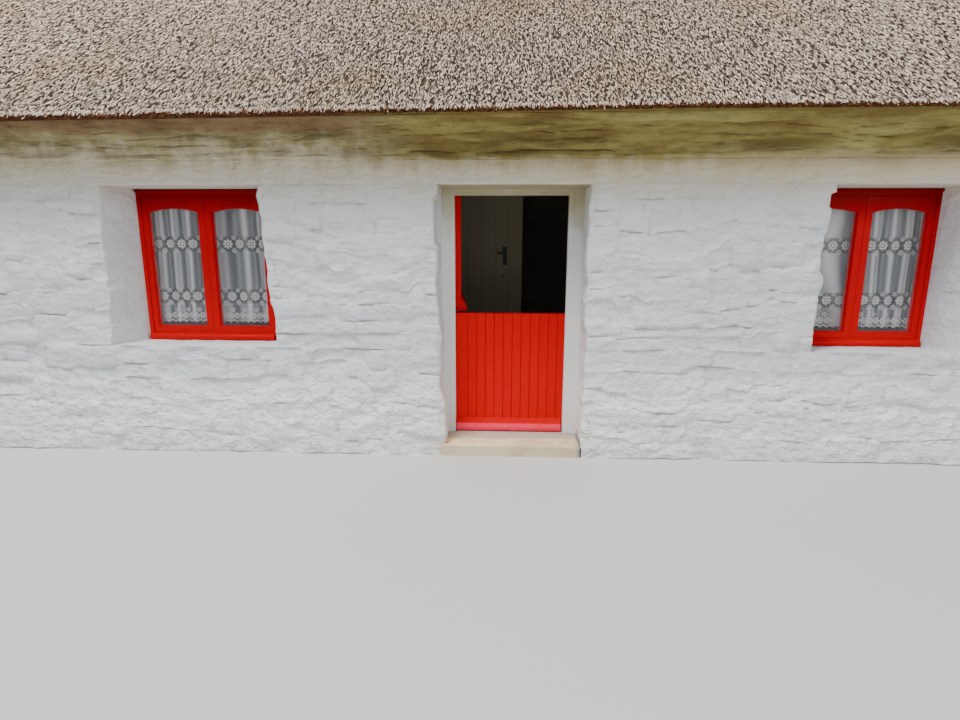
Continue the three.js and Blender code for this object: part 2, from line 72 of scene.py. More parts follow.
# Sizes shared with the solids, in metres
END_X = 4.9
FACE_Y = 2.6
INNER_X = 4.3
INNER_Y = 2.0
WALL_TOP = 2.3
LINTEL_Z = 1.894
SILL_Z = 0.786
FLOOR_Z = 0.084
FRAME_Y = -2.31
FRAME_DEEP = 0.09
DOOR_X = -0.111
WINDOW_X = 2.368
WINDOW_HALF = 0.495
VERGE_X = 5.05
EAVE_Y = 2.905
PLATE_Y = 2.42
SLOPE = math.tan(math.radians(42.5))
OUTER_APEX = 2.325 + EAVE_Y * SLOPE
INNER_APEX = WALL_TOP + PLATE_Y * SLOPE
STACK_HALF = 0.45
STACK_FOOT = INNER_APEX - STACK_HALF * SLOPE
CORBEL_Z = (2.055, 2.12, 2.20, 2.262, 2.2910)
CORBEL_OUT = (0.0, 0.012, 0.05, 0.12, 0.212)

# Clearance between neighbours, and directions down and out of the front slope
GAP = 0.0003
DOWN = np.array([0.0, -1.0, -SLOPE]) / math.hypot(1.0, SLOPE)
OUT = np.array([0.0, -SLOPE, 1.0]) / math.hypot(1.0, SLOPE)


class Body(str, Enum):
    """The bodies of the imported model."""

    COTTAGE = "cottage"
    LOWER_DOOR = "lower_half_door"
    INNER_DOOR = "inner_door"


class Slot(str, Enum):
    """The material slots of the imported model's record."""

    STONE = "limewashed_stone"
    THATCH = "thatch"
    RED = "red_paint"
    WHITE = "white_paint"
    CREAM = "cream_paint"
    TIMBER = "bare_timber"
    CONCRETE = "concrete"
    IRON = "iron"
    GLASS = "window_glass"
    LACE = "lace"


def unit(value: Numbers) -> np.ndarray:
    """Clips numbers to the range from 0 to 1."""
    return np.clip(value, 0, 1)


def eased(t: Numbers) -> Numbers:
    """Rises from 0 to 1 with level ends, as 3t² - 2t³."""
    return t * t * (3 - 2 * t)


def near(distance: Numbers, width: float) -> np.ndarray:
    """Falls from 1 at zero distance to 0, as exp(-(distance / width)²)."""
    return np.exp(-((np.asarray(distance) / width) ** 2))


def spaced(start: float, stop: float, step: float) -> np.ndarray:
    """Even marks from start to stop, both included, about a step apart."""
    return np.linspace(start, stop, max(2, int(round(abs(stop - start) / step)) + 1))


def joined(*runs: np.ndarray) -> np.ndarray:
    """Puts runs of marks end to end, each starting where the one before ends."""
    return np.concatenate([runs[0]] + [run[1:] for run in runs[1:]])


def xyz(x: Numbers, y: Numbers, z: Numbers) -> np.ndarray:
    """Points with x, y and z on the last axis, from coordinates that broadcast together."""
    return np.stack(np.broadcast_arrays(x, y, z), axis=-1)


def upright(rows: Iterable[tuple[float, ...]]) -> Iterator[np.ndarray]:
    """One upright array for each column of a table of rows."""
    return (np.array(column, float)[:, None] for column in zip(*rows))


def walked(points: np.ndarray) -> np.ndarray:
    """Distance walked along a line of points up to each of them."""
    return np.concatenate([[0.0], np.cumsum(np.linalg.norm(np.diff(points, axis=0), axis=1))])


def turned(points: np.ndarray, quarters: int) -> np.ndarray:
    """The (n, 3) points turned about Z by quarter turns, anticlockwise from above."""
    c, s = round(math.cos(quarters * math.pi / 2)), round(math.sin(quarters * math.pi / 2))
    return points @ np.array([[c, s, 0.0], [-s, c, 0.0], [0.0, 0.0, 1.0]])


def droop(x: np.ndarray, y: np.ndarray) -> np.ndarray:
    """How far the front eave sinks towards its left end; it fades to nothing over the wall."""
    return -0.045 * np.clip((1.0 - x) / 4.6, 0, 1.3) * unit((-y - 2.55) / 0.3)


class Lattice:
    """Smooth noise from random heights on a square lattice."""

    SIZE = 256

    def __init__(self, seed: int) -> None:
        """Draws the lattice heights between -1 and 1 from a seed."""
        self.heights = np.random.default_rng(seed).uniform(-1.0, 1.0, (self.SIZE, self.SIZE))

    def at(self, u: Numbers, v: Numbers) -> np.ndarray:
        """Blends the four lattice heights round each point with weights 3t² - 2t³.

        Args:
            u: First coordinates, in lattice steps.
            v: Second coordinates, in lattice steps.

        Returns:
            Heights between -1 and 1.
        """
        u, v = np.broadcast_arrays(np.asarray(u, float), np.asarray(v, float))
        iu, iv = np.floor(u).astype(int), np.floor(v).astype(int)
        su, sv = eased(u - iu), eased(v - iv)
        a, b = iu % self.SIZE, (iu + 1) % self.SIZE
        c, d = iv % self.SIZE, (iv + 1) % self.SIZE
        h = self.heights
        low = h[a, c] * (1 - su) + h[b, c] * su
        high = h[a, d] * (1 - su) + h[b, d] * su
        return low * (1 - sv) + high * sv

    def layered(self, u: Numbers, v: Numbers, layers: int = 3) -> np.ndarray:
        """Adds layers of the noise, each twice as fine and half as high as the last.

        Args:
            u: First coordinates, in lattice steps.
            v: Second coordinates, in lattice steps.
            layers: Number of layers.

        Returns:
            Heights between about -1 and 1.
        """
        total = np.zeros(np.broadcast(u, v).shape)
        for layer in range(layers):
            step = 2.0 ** layer
            total = total + self.at(u * step + 17.3 * layer, v * step + 5.1 * layer) / step
        return total / 1.6

    def stepped(self, place: np.ndarray, row: Numbers, stride: float, level: float) -> np.ndarray:
        """Noise that stays level over most of each whole number of its place, then eases to the next.

        Args:
            place: First coordinates; each whole number has a height of its own.
            row: Second coordinates, in lattice steps.
            stride: Lattice steps between one whole number and the next.
            level: Share of a whole number over which the height stays level.

        Returns:
            The two heights beside each place and the share of the way from one to the other.
        """
        stone = np.floor(place)
        first, second = self.at(stone * stride, row), self.at(stone * stride + stride, row)
        return first, second, unit((place - stone - level) / (1 - level))


@dataclass
class Skin:
    """Points, quads and point attributes gathered from grids before they become one mesh."""

    points: list[np.ndarray] = field(default_factory=list)
    quads: list[np.ndarray] = field(default_factory=list)
    tris: list[np.ndarray] = field(default_factory=list)
    marks: dict[str, list[np.ndarray]] = field(default_factory=dict)
    count: int = 0

    def add(self, points: np.ndarray, **marks: Numbers) -> np.ndarray:
        """Adds a block of points.

        Args:
            points: Array whose last axis is x, y, z.
            **marks: Attribute values that broadcast to the other axes.

        Returns:
            The indices of the points, in the block's own shape.
        """
        shape = points.shape[:-1]
        total = int(np.prod(shape))
        self.points.append(points.reshape(-1, 3))
        for name in set(self.marks) | set(marks):
            values = np.broadcast_to(np.asarray(marks.get(name, 0.0), float), shape).reshape(-1)
            self.marks.setdefault(name, [np.zeros(self.count)] if self.count else []).append(values)
        index = np.arange(self.count, self.count + total).reshape(shape)
        self.count += total
        return index

    def sheet(self, index: np.ndarray, keep: np.ndarray | None = None, flip: bool = False,
              wrap: bool = False) -> None:
        """Spans quads over a grid of indices; they face along (step in columns) x (step in rows).

        Args:
            index: Indices of shape (rows, columns).
            keep: Which of the (rows - 1, columns - 1) quads are made.
            flip: Turns the quads the other way.
            wrap: Joins the last column to the first.
        """
        if wrap:
            index = np.concatenate([index, index[:, :1]], axis=1)
        a, b = index[:-1, :-1], index[:-1, 1:]
        c, d = index[1:, 1:], index[1:, :-1]
        quads = np.stack([a, d, c, b] if flip else [a, b, c, d], axis=-1)
        self.quads.append(quads.reshape(-1, 4) if keep is None else quads[keep])

    def grid(self, points: np.ndarray, flip: bool = False, wrap: bool = False,
             **marks: Numbers) -> np.ndarray:
        """Adds a block of points and spans it with quads.

        Args:
            points: Points of shape (rows, columns, 3).
            flip: Turns the quads the other way.
            wrap: Joins the last column to the first.
            **marks: Attribute values.

        Returns:
            The indices of the points.
        """
        index = self.add(points, **marks)
        self.sheet(index, flip=flip, wrap=wrap)
        return index

    def flat(self, corner: Triple, u: Triple, v: Triple, nu: int, nv: int) -> None:
        """Adds the flat grid corner + a u + b v, which faces u x v, of nu by nv points."""
        a, b = np.linspace(0, 1, nu)[None, :, None], np.linspace(0, 1, nv)[:, None, None]
        self.grid(np.asarray(corner, float) + a * np.asarray(u, float) + b * np.asarray(v, float))

    def fan(self, ring: np.ndarray, flip: bool) -> None:
        """Closes a ring of indices with triangles from its first point; flip turns them the other way."""
        fan = np.stack([np.full(len(ring) - 2, ring[0]), ring[1:-1], ring[2:]], axis=-1)
        self.tris.append(fan[:, ::-1] if flip else fan)

    def box(self, low: Triple, high: Triple, **marks: Numbers) -> None:
        """Adds a closed box.

        Args:
            low: Corner with the lowest coordinates.
            high: Corner with the highest ones.
            **marks: Attribute values.
        """
        sides = (np.array([low[i], high[i]]) for i in range(3))
        corners = np.stack(np.meshgrid(*sides, indexing="ij"), axis=-1).reshape(8, 3)
        faces = [(0, 1, 3, 2), (4, 6, 7, 5), (0, 4, 5, 1), (2, 3, 7, 6), (0, 2, 6, 4), (1, 5, 7, 3)]
        self.quads.append(self.add(corners, **marks)[np.array(faces)])

    def tube(self, path: np.ndarray, radius: float, sides: int, **marks: Numbers) -> None:
        """Adds a round bar: rings of points at the radius round each point of a path, with flat ends.

        Args:
            path: Points along the middle, of shape (n, 3).
            radius: Radius of the bar.
            sides: Number of sides.
            **marks: Attribute values.
        """
        along = np.gradient(path, axis=0)
        along /= np.linalg.norm(along, axis=1, keepdims=True)
        u = np.cross(np.where(np.abs(along[:, 2:3]) > 0.9, [[1.0, 0, 0]], [[0, 0, 1.0]]), along)
        u /= np.linalg.norm(u, axis=1, keepdims=True)
        v = np.cross(along, u)
        turn = np.linspace(0, 2 * np.pi, sides, endpoint=False)[None, :, None]
        rings = path[:, None] + radius * (u[:, None] * np.cos(turn) + v[:, None] * np.sin(turn))
        index = self.grid(rings, wrap=True, **marks)
        for end, flip in ((0, True), (-1, False)):
            middle = self.add(rings[end].mean(axis=0)[None], **marks)[0]
            fan = np.stack([np.full(sides, middle), index[end], np.roll(index[end], -1)], axis=-1)
            self.tris.append(fan[:, ::-1] if flip else fan)

    def join(self, other: "Skin") -> None:
        """Takes over another skin's points, faces and attributes, which are those of this one.

        Args:
            other: The other skin.
        """
        for name, blocks in other.marks.items():
            self.marks.setdefault(name, []).extend(blocks)
        self.points += other.points
        self.quads += [quads + self.count for quads in other.quads]
        self.tris += [tris + self.count for tris in other.tris]
        self.count += other.count

    def move(self, how: Callable[[np.ndarray], np.ndarray]) -> None:
        """Sends every point through a function of an (n, 3) array."""
        self.points = [how(block) for block in self.points]

    def shift(self, x: float, y: float, z: float) -> None:
        """Moves every point along X, Y and Z."""
        self.move(lambda points: points + np.array([x, y, z]))

    def build(self, name: str, material: bpy.types.Material, slot: Slot, replaces: tuple[str, ...] = (),
              body: Body = Body.COTTAGE, smooth: float | None = 40.0) -> bpy.types.Object:
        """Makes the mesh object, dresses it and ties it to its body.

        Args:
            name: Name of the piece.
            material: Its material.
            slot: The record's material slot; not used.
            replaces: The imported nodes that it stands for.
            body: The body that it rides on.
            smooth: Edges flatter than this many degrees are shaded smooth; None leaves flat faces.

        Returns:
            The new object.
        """
        points = np.concatenate(self.points).astype(np.float32)
        quads = np.concatenate(self.quads) if self.quads else np.zeros((0, 4), int)
        tris = np.concatenate(self.tris) if self.tris else np.zeros((0, 3), int)
        corners = np.concatenate([quads.reshape(-1), tris.reshape(-1)])
        starts = np.concatenate([np.arange(len(quads)) * 4, quads.size + np.arange(len(tris)) * 3])
        mesh = bpy.data.meshes.new(name)
        mesh.vertices.add(len(points))
        mesh.vertices.foreach_set("co", points.reshape(-1))
        mesh.loops.add(len(corners))
        mesh.loops.foreach_set("vertex_index", corners.astype(np.int32))
        mesh.polygons.add(len(starts))
        mesh.polygons.foreach_set("loop_start", starts.astype(np.int32))
        mesh.update(calc_edges=True)
        mesh.validate()
        for key, blocks in self.marks.items():
            attribute = mesh.attributes.new(key, "FLOAT", "POINT")
            attribute.data.foreach_set("value", np.concatenate(blocks).astype(np.float32))
        if smooth is not None:
            mesh.polygons.foreach_set("use_smooth", np.ones(len(mesh.polygons), bool))
            mesh.set_sharp_from_angle(angle=math.radians(smooth))
        mesh.materials.append(material)
        piece = bpy.data.objects.new(name, mesh)
        bpy.context.scene.collection.objects.link(piece)
        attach(piece, body.value)
        if replaces:
            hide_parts(*replaces)
        LOG.info("%s: %d points, %d faces", name, len(points), len(starts))
        return piece


class Value:
    """A number or colour that a node gives; arithmetic with it adds Math nodes."""

    def __init__(self, tree: "Tree", socket: bpy.types.NodeSocket) -> None:
        """Keeps the material's tree and the node's output."""
        self.tree = tree
        self.socket = socket

    def __add__(self, other: "Value | float") -> "Value":
        """The sum."""
        return self.tree.math("ADD", self, other)

    def __sub__(self, other: "Value | float") -> "Value":
        """The difference."""
        return self.tree.math("SUBTRACT", self, other)

    def __mul__(self, other: "Value | float") -> "Value":
        """The product."""
        return self.tree.math("MULTIPLY", self, other)

    def __truediv__(self, other: "Value | float") -> "Value":
        """The quotient."""
        return self.tree.math("DIVIDE", self, other)

    def __abs__(self) -> "Value":
        """The size without its sign."""
        return self.tree.math("ABSOLUTE", self)

    def scaled(self, factor: "Value | float", plus: "Value | float") -> "Value":
        """The value times a factor, plus another value."""
        return self.tree.math("MULTIPLY_ADD", self, factor, plus)

    def most(self, other: "Value | float") -> "Value":
        """The larger of two values."""
        return self.tree.math("MAXIMUM", self, other)

    def span(self, low: "Value | float", high: "Value | float", to_low: "Value | float" = 0.0,
             to_high: "Value | float" = 1.0) -> "Value":
        """Maps a range smoothly to another, clamped at both ends.

        Args:
            low: Where the range starts.
            high: Where it ends.
            to_low: The result at the start.
            to_high: The result at the end.

        Returns:
            The mapped value.
        """
        node = self.tree.nodes.new("ShaderNodeMapRange")
        node.interpolation_type = "SMOOTHSTEP"
        numbers = {"Value": self, "From Min": low, "From Max": high, "To Min": to_low, "To Max": to_high}
        for socket, number in numbers.items():
            self.tree.wire(number, node.inputs[socket])
        return Value(self.tree, node.outputs["Result"])


class Tree:
    """A material's node tree, with short calls for the nodes that the finishes use."""

    def __init__(self, name: str) -> None:
        """Starts a material with a Principled shader.

        Args:
            name: Name of the material.
        """
        self.material = bpy.data.materials.new(name)
        self.material.use_nodes = True
        self.nodes = self.material.node_tree.nodes
        self.shader = self.nodes["Principled BSDF"].inputs
        self.place = Value(self, self.nodes.new("ShaderNodeTexCoord").outputs["Object"])

    def wire(self, source: "Value | float | tuple[float, ...]", target: bpy.types.NodeSocket) -> None:
        """Links a value to an input, or sets the input to a plain number or colour.

        Args:
            source: The value, number or colour.
            target: The input.
        """
        if isinstance(source, Value):
            self.material.node_tree.links.new(source.socket, target)
        else:
            target.default_value = (*source, 1.0) if isinstance(source, tuple) else source

    def scaled(self, x: float, y: float, z: float) -> Value:
        """Object coordinates multiplied by a factor along each axis.

        Args:
            x: Factor along X.
            y: Factor along Y.
            z: Factor along Z.

        Returns:
            The vector.
        """
        node = self.nodes.new("ShaderNodeMapping")
        node.inputs["Scale"].default_value = (x, y, z)
        self.wire(self.place, node.inputs["Vector"])
        return Value(self, node.outputs["Vector"])

    def noise(self, scale: float, detail: float = 3.0, rough: float = 0.55, vector: Value | None = None,
              distortion: float = 0.0) -> Value:
        """A noise texture's grey output, from 0 to 1.

        Args:
            scale: Lumps in a metre.
            detail: Number of finer layers.
            rough: Strength of each layer beside the one before.
            vector: Where the texture is read; the object's coordinates unless given.
            distortion: How far it is bent.

        Returns:
            The grey value.
        """
        node = self.nodes.new("ShaderNodeTexNoise")
        inputs = {"Vector": vector or self.place, "Scale": scale, "Detail": detail, "Roughness": rough,
                  "Distortion": distortion}
        for socket, value in inputs.items():
            self.wire(value, node.inputs[socket])
        return Value(self, node.outputs["Fac"])

    def axis(self, letter: str, vector: Value | None = None) -> Value:
        """One coordinate of the object or of a vector.

        Args:
            letter: X, Y or Z.
            vector: The vector; the object's coordinates unless given.

        Returns:
            The coordinate.
        """
        node = self.nodes.new("ShaderNodeSeparateXYZ")
        self.wire(vector or self.place, node.inputs["Vector"])
        return Value(self, node.outputs[letter])

    def mark(self, name: str) -> Value:
        """A point attribute of the mesh.

        Args:
            name: Its name.

        Returns:
            Its value.
        """
        node = self.nodes.new("ShaderNodeAttribute")
        node.attribute_name = name
        return Value(self, node.outputs["Fac"])

    def math(self, kind: str, *values: Value | float) -> Value:
        """A Math node.

        Args:
            kind: Its operation.
            *values: What goes in, up to three.

        Returns:
            The result.
        """
        node = self.nodes.new("ShaderNodeMath")
        node.operation = kind
        for socket, value in zip(node.inputs, (*values, 0.0, 0.0)):
            self.wire(value, socket)
        return Value(self, node.outputs[0])

    def blend(self, share: Value, a: Value | Triple, b: Value | Triple) -> Value:
        """Mixes two colours.

        Args:
            share: Share of the second colour, from 0 to 1.
            a: First colour.
            b: Second colour.

        Returns:
            The mixed colour.
        """
        node = self.nodes.new("ShaderNodeMix")
        node.data_type = "RGBA"
        for value, socket in ((share, node.inputs["Factor"]), (a, node.inputs[6]), (b, node.inputs[7])):
            self.wire(value, socket)
        return Value(self, node.outputs[2])

    def relief(self, height: Value, strength: float, distance: float, below: Value | None = None) -> Value:
        """A Bump node.

        Args:
            height: The heights.
            strength: Share of the bump that shows.
            distance: Height of a full step, in metres.
            below: A bump that this one is laid over.

        Returns:
            The bent normal.
        """
        node = self.nodes.new("ShaderNodeBump")
        inputs = {"Strength": strength, "Distance": distance, "Height": height}
        for socket, value in (inputs | {"Normal": below} if below else inputs).items():
            self.wire(value, node.inputs[socket])
        return Value(self, node.outputs["Normal"])

    def finish(self, colour: Value | Triple, rough: Value | float, normal: Value | None = None,
               **plain: float) -> bpy.types.Material:
        """Wires the shader.

        Args:
            colour: Colour of the surface.
            rough: Its roughness.
            normal: Normal output of a Bump node.
            **plain: Other sockets' plain values, with _ for a space in the name.

        Returns:
            The material.
        """
        self.wire(colour, self.shader["Base Color"])
        self.wire(rough, self.shader["Roughness"])
        if normal:
            self.wire(normal, self.shader["Normal"])
        for name, value in plain.items():
            self.shader[name.replace("_", " ")].default_value = value
        return self.material


@dataclass(frozen=True)
class Limewash:
    """Thick limewash over rubble, stained by water from the thatch; rougher at the foot and whiter there,
    partly painted sunlight.
    """

    name: str = "limewash"
    cream_foot: float = 1.70
    band_top: float = 2.12
    stained: bool = True
    # Colour of splashed dirt at the foot, and of painted shade on the room's inner faces.
    dirt_and_room_shade: Triple = (0.44, 0.41, 0.33)

    def material(self) -> bpy.types.Material:
        """Builds the material: white coat, shaded joints, stain by height, and three sizes of bump.

        Returns:
            The material.
        """
        t = Tree(self.name)
        patches = t.noise(1.1, 4.0)
        colour = t.blend(patches.span(0.3, 0.7), (0.66, 0.685, 0.72), (0.745, 0.75, 0.75))
        thin = t.noise(9.0, 5.0, 0.6, t.scaled(0.7, 0.7, 2.0)).span(0.45, 0.75, 0.0, 0.45)
        colour = t.blend(thin, colour, (0.56, 0.56, 0.53))
        height = t.axis("Z")
        foot = height + (t.noise(2.2, 4.0) - 0.5) * 0.5
        # Whiter at the foot: partly the thicker limewash there and partly painted sunlight.
        colour = t.blend(foot.span(0.68, 0.38, 0.0, 0.95), colour, (0.99, 0.975, 0.95))
        # Painted shade along the rubble's joint grooves.
        joint = t.mark("joint") * t.noise(3.4, 3.0).span(0.36, 0.56, 0.3, 1.0)
        colour = t.blend(joint * 0.8, colour, (0.24, 0.215, 0.165))
        splash = height.span(0.16, 0.0) * t.noise(5.0, 4.0).span(0.35, 0.7)
        colour = t.blend(splash * 0.45, colour, self.dirt_and_room_shade)
        if self.stained:
            depth, width = abs(t.axis("Y")), abs(t.axis("X"))
            colour = t.blend(depth.span(2.2, 2.4), colour, self._stain(t, colour, height))
            # Painted shade: the room's inner faces are darkened.
            room = depth.span(2.03, 2.005) * width.span(4.33, 4.305)
            colour = t.blend(room, colour, self.dirt_and_room_shade)
        rougher = foot.span(0.66, 0.40, 1.0, 2.4)
        brush = t.relief(t.noise(46.0, 5.0, 0.62) * rougher, 0.75, 0.010)
        lumps = t.noise(13.0, 3.0, 0.45, t.scaled(1.0, 1.0, 1.5)) * rougher
        daubs = t.noise(1.0, 5.0, 0.6, t.scaled(7.0, 7.0, 30.0), 0.5) * t.mark("rough")
        bump = t.relief(daubs, 0.9, 0.030, t.relief(lumps, 0.85, 0.026, brush))
        return t.finish(colour, patches.span(0.2, 0.8, 0.82, 0.95), bump, Specular_IOR_Level=0.2)

    def _stain(self, t: Tree, colour: Value, height: Value) -> Value:
        """Cream on the lintel band, olive and ochre on the stones above it, brown under the eave on the left.

        The left end is greyer and fades down in drips; the right end carries the olive a little below the
        stones. Shares from the two ends are mixed by how far along the wall a point is.

        Args:
            t: The material's tree.
            colour: The wall's own colour.
            height: Height above the ground.

        Returns:
            The stained colour.
        """
        top = self.band_top
        drips = t.noise(3.0, 4.0, 0.6, t.scaled(2.6, 2.6, 0.7)) - 0.5
        ragged = drips.scaled(0.22, height)
        left, right = t.axis("X").span(-0.55, -1.35), t.axis("X").span(0.6, 1.9)
        side = t.axis("X").span(-1.5, 0.6, 0.8, 1.0)
        cream = ragged.span(self.cream_foot, self.cream_foot + 0.36) * side
        colour = t.blend(cream, colour, (0.63, 0.545, 0.34))
        # Painted shade, olive, on the soffit over the door.
        colour = t.blend(t.mark("over") * 0.9, colour, (0.40, 0.365, 0.20))
        patches = t.noise(1.0, 6.0, 0.7, t.scaled(4.0, 4.0, 17.0), 0.3).span(0.28, 0.60)
        olive = t.blend(patches, (0.20, 0.145, 0.04), (0.31, 0.26, 0.08))
        # Painted shade in the hollows and a painted highlight on the proud faces of the stones.
        olive = t.blend(t.mark("proud").span(0.45, 0.12, 0.0, 0.65), olive, (0.15, 0.092, 0.022))
        olive = t.blend(t.mark("proud").span(0.60, 0.95, 0.0, 0.6), olive, (0.43, 0.375, 0.14))
        grey = t.blend(patches, (0.165, 0.128, 0.048), (0.345, 0.295, 0.15))
        olive = t.blend(left * 0.9, olive, grey)
        # Painted shade in the joints of the stones, weaker at the left end.
        olive = t.blend(t.mark("joint") * left.span(0.0, 1.0, 0.45, 0.12), olive, (0.085, 0.045, 0.012))
        brown = t.blend(patches, (0.14, 0.08, 0.03), (0.23, 0.15, 0.07))
        under = drips.scaled(0.07, height).span(top + 0.055, top + 0.115)
        olive = t.blend(t.axis("X").span(-0.85, -1.25) * under, olive, brown)
        sharp = t.mark("rough") * ragged.span(top - 0.10, top - 0.03, 0.62, 0.98)
        sharp = sharp.most(ragged.span(top - 0.17, top - 0.05, 0.0, 0.5))
        soft = (t.noise(2.0, 2.0) - 0.5).scaled(0.14, height).span(top - 0.17, top + 0.03, 0.0, 0.98)
        washed = drips.scaled(0.40, height).span(top - 0.17, top + 0.09, 0.0, 0.97)
        return t.blend(left.span(0.0, 1.0, right.span(0.0, 1.0, sharp, soft), washed), colour, olive)


@dataclass(frozen=True)
class Reed:
    """Weathered reed: pale pinkish grey ends over gaps of painted shade, with straw-coloured patches."""

    name: str = "reed"

    def loose(self) -> bpy.types.Material:
        """Builds the material of cut stalks, each of which has a tone of its own.

        Returns:
            The material.
        """
        t = Tree(self.name)
        drift = t.noise(0.7, 4.0).span(0.3, 0.7)
        pale = t.blend(drift, (1.0, 0.81, 0.665), (1.0, 0.83, 0.68))
        grey = t.blend(drift, (0.37, 0.275, 0.21), (0.43, 0.325, 0.245))
        tone = t.mark("tone")
        colour = t.blend(tone.span(0.0, 0.5), grey, pale)
        colour = t.blend(self._straw(t) * tone.span(0.15, 0.6), colour, (0.80, 0.57, 0.32))
        # Painted shade: each stalk is near black from its root to well up its length, for the gaps between
        # stalks.
        colour = t.blend(t.mark("tip").span(0.70, 0.42, 0.0, 0.95), colour, (0.035, 0.025, 0.018))
        brown = t.blend(tone.span(0.2, 0.8), (0.045, 0.017, 0.007), (0.24, 0.088, 0.030))
        return t.finish(t.blend(t.mark("rust"), colour, brown), 0.85, Specular_IOR_Level=0.2)

    def packed(self) -> bpy.types.Material:
        """Builds the material of packed reed from stretched noise; its underside is brown, stained olive.

        Returns:
            The material.
        """
        t = Tree(self.name)
        strokes = t.noise(1.0, 3.0, 0.6, t.scaled(120.0, 30.0, 30.0))
        # Painted shade: the bed's top, seen between the cut ends, is near black.
        colour = t.blend(strokes.span(0.42, 0.66), (0.03, 0.022, 0.018), (0.15, 0.115, 0.09))
        colour = t.blend(self._straw(t), colour, (0.10, 0.075, 0.03))
        brown = t.blend(t.noise(55.0, 4.0).span(0.35, 0.65), (0.040, 0.015, 0.006), (0.19, 0.066, 0.026))
        colour = t.blend(t.mark("rust").span(0.3, 0.8), colour, brown)
        combed = t.blend(strokes.span(0.38, 0.62), (0.13, 0.10, 0.08), (0.60, 0.51, 0.44))
        colour = t.blend(t.mark("cap"), colour, combed)
        ragged = t.mark("lime") + (t.noise(16.0, 4.0, 0.6) - 0.5)
        lime = ragged.span(0.45, 0.60) * t.axis("X").span(-1.3, -0.8)
        colour = t.blend(lime, colour, t.blend(strokes, (0.15, 0.10, 0.02), (0.29, 0.24, 0.07)))
        return t.finish(colour, 0.92, t.relief(strokes, 0.9, 0.02), Specular_IOR_Level=0.15)

    def _straw(self, t: Tree) -> Value:
        """Share of the straw-coloured patches."""
        return t.noise(1.3, 4.0, 0.6).span(0.50, 0.70, 0.0, 0.5)


@dataclass(frozen=True)
class GlossPaint:
    """Brush-laid gloss paint on wood."""

    name: str
    colour: Triple
    faded: Triple
    rough: float = 0.28
    grain: Triple = (22.0, 22.0, 1.6)
    worn: float = 0.35
    groove_shade_and_fittings: float = 0.45
    shade: float = 0.0
    sheltered: Triple | None = None

    def material(self) -> bpy.types.Material:
        """Builds the material: fading in patches, brush lines along the grain as bump, painted shade in
        grooves.

        Returns:
            The material.
        """
        t = Tree(self.name)
        patches = t.noise(2.3, 4.0, 0.6)
        lines = t.noise(6.0, 4.0, 0.6, t.scaled(*self.grain))
        colour = t.blend(patches.span(0.42, 0.78) * self.worn, self.colour, self.faded)
        colour = t.blend(lines.span(0.5, 0.8, 0.0, 0.22), colour, self._darker(0.62))
        # Painted shade in the V grooves, glazing bevels and nail dents that the groove mark covers; a keyhole
        # cover is darkened the same way as a dark fitting.
        colour = t.blend(t.mark("groove") * self.groove_shade_and_fittings, colour, self._darker(0.16))
        if self.sheltered:
            colour = t.blend(t.mark("sheltered"), colour, self.sheltered)
        if self.shade:
            # Painted shade: darker towards the window's head under the lintel.
            colour = t.blend(t.axis("Z").span(1.62, 1.86, 0.0, self.shade), colour, self._darker(0.25))
        rough = patches.span(0.3, 0.75, self.rough, self.rough + 0.2)
        return t.finish(colour, rough, t.relief(lines, 0.3, 0.003), Specular_IOR_Level=0.07)

    def _darker(self, share: float) -> Triple:
        """The paint's colour with only a share of its light."""
        return tuple(share * channel for channel in self.colour)


@dataclass(frozen=True)
class FramePaint:
    """White paint on the door frame, with painted shade in olive towards the lintel."""

    name: str = "frame_paint"

    def material(self) -> bpy.types.Material:
        """Builds the material with painted shade by height and in the bead line, and brush lines as bump.

        Returns:
            The material.
        """
        t = Tree(self.name)
        height = t.axis("Z") + (t.noise(5.0, 4.0) - 0.5) * 0.5
        colour = t.blend(t.noise(4.0, 4.0).span(0.35, 0.7), (0.77, 0.79, 0.79), (0.82, 0.82, 0.79))
        # Painted shade: olive darkening up the frame towards the lintel.
        colour = t.blend(height.span(1.45, 1.90, 0.0, 0.95), colour, (0.43, 0.395, 0.225))
        # Painted shade in the bead line.
        colour = t.blend(t.mark("groove") * 0.14, colour, (0.34, 0.31, 0.24))
        return t.finish(colour, 0.5, t.relief(t.noise(6.0, 4.0, 0.6, t.scaled(20.0, 20.0, 1.5)), 0.25, 0.003))


@dataclass(frozen=True)
class Timber:
    """Bare timber darkened by soot."""

    name: str = "roof_timber"
    along: Triple = (3.0, 14.0, 14.0)

    def material(self) -> bpy.types.Material:
        """Builds the material from grain noise stretched along the piece.

        Returns:
            The material.
        """
        t = Tree(self.name)
        grain = t.noise(3.0, 6.0, 0.65, t.scaled(*self.along), 0.6)
        colour = t.blend(grain.span(0.35, 0.65), (0.085, 0.05, 0.028), (0.22, 0.145, 0.085))
        return t.finish(colour, 0.75, t.relief(grain, 0.6, 0.004))


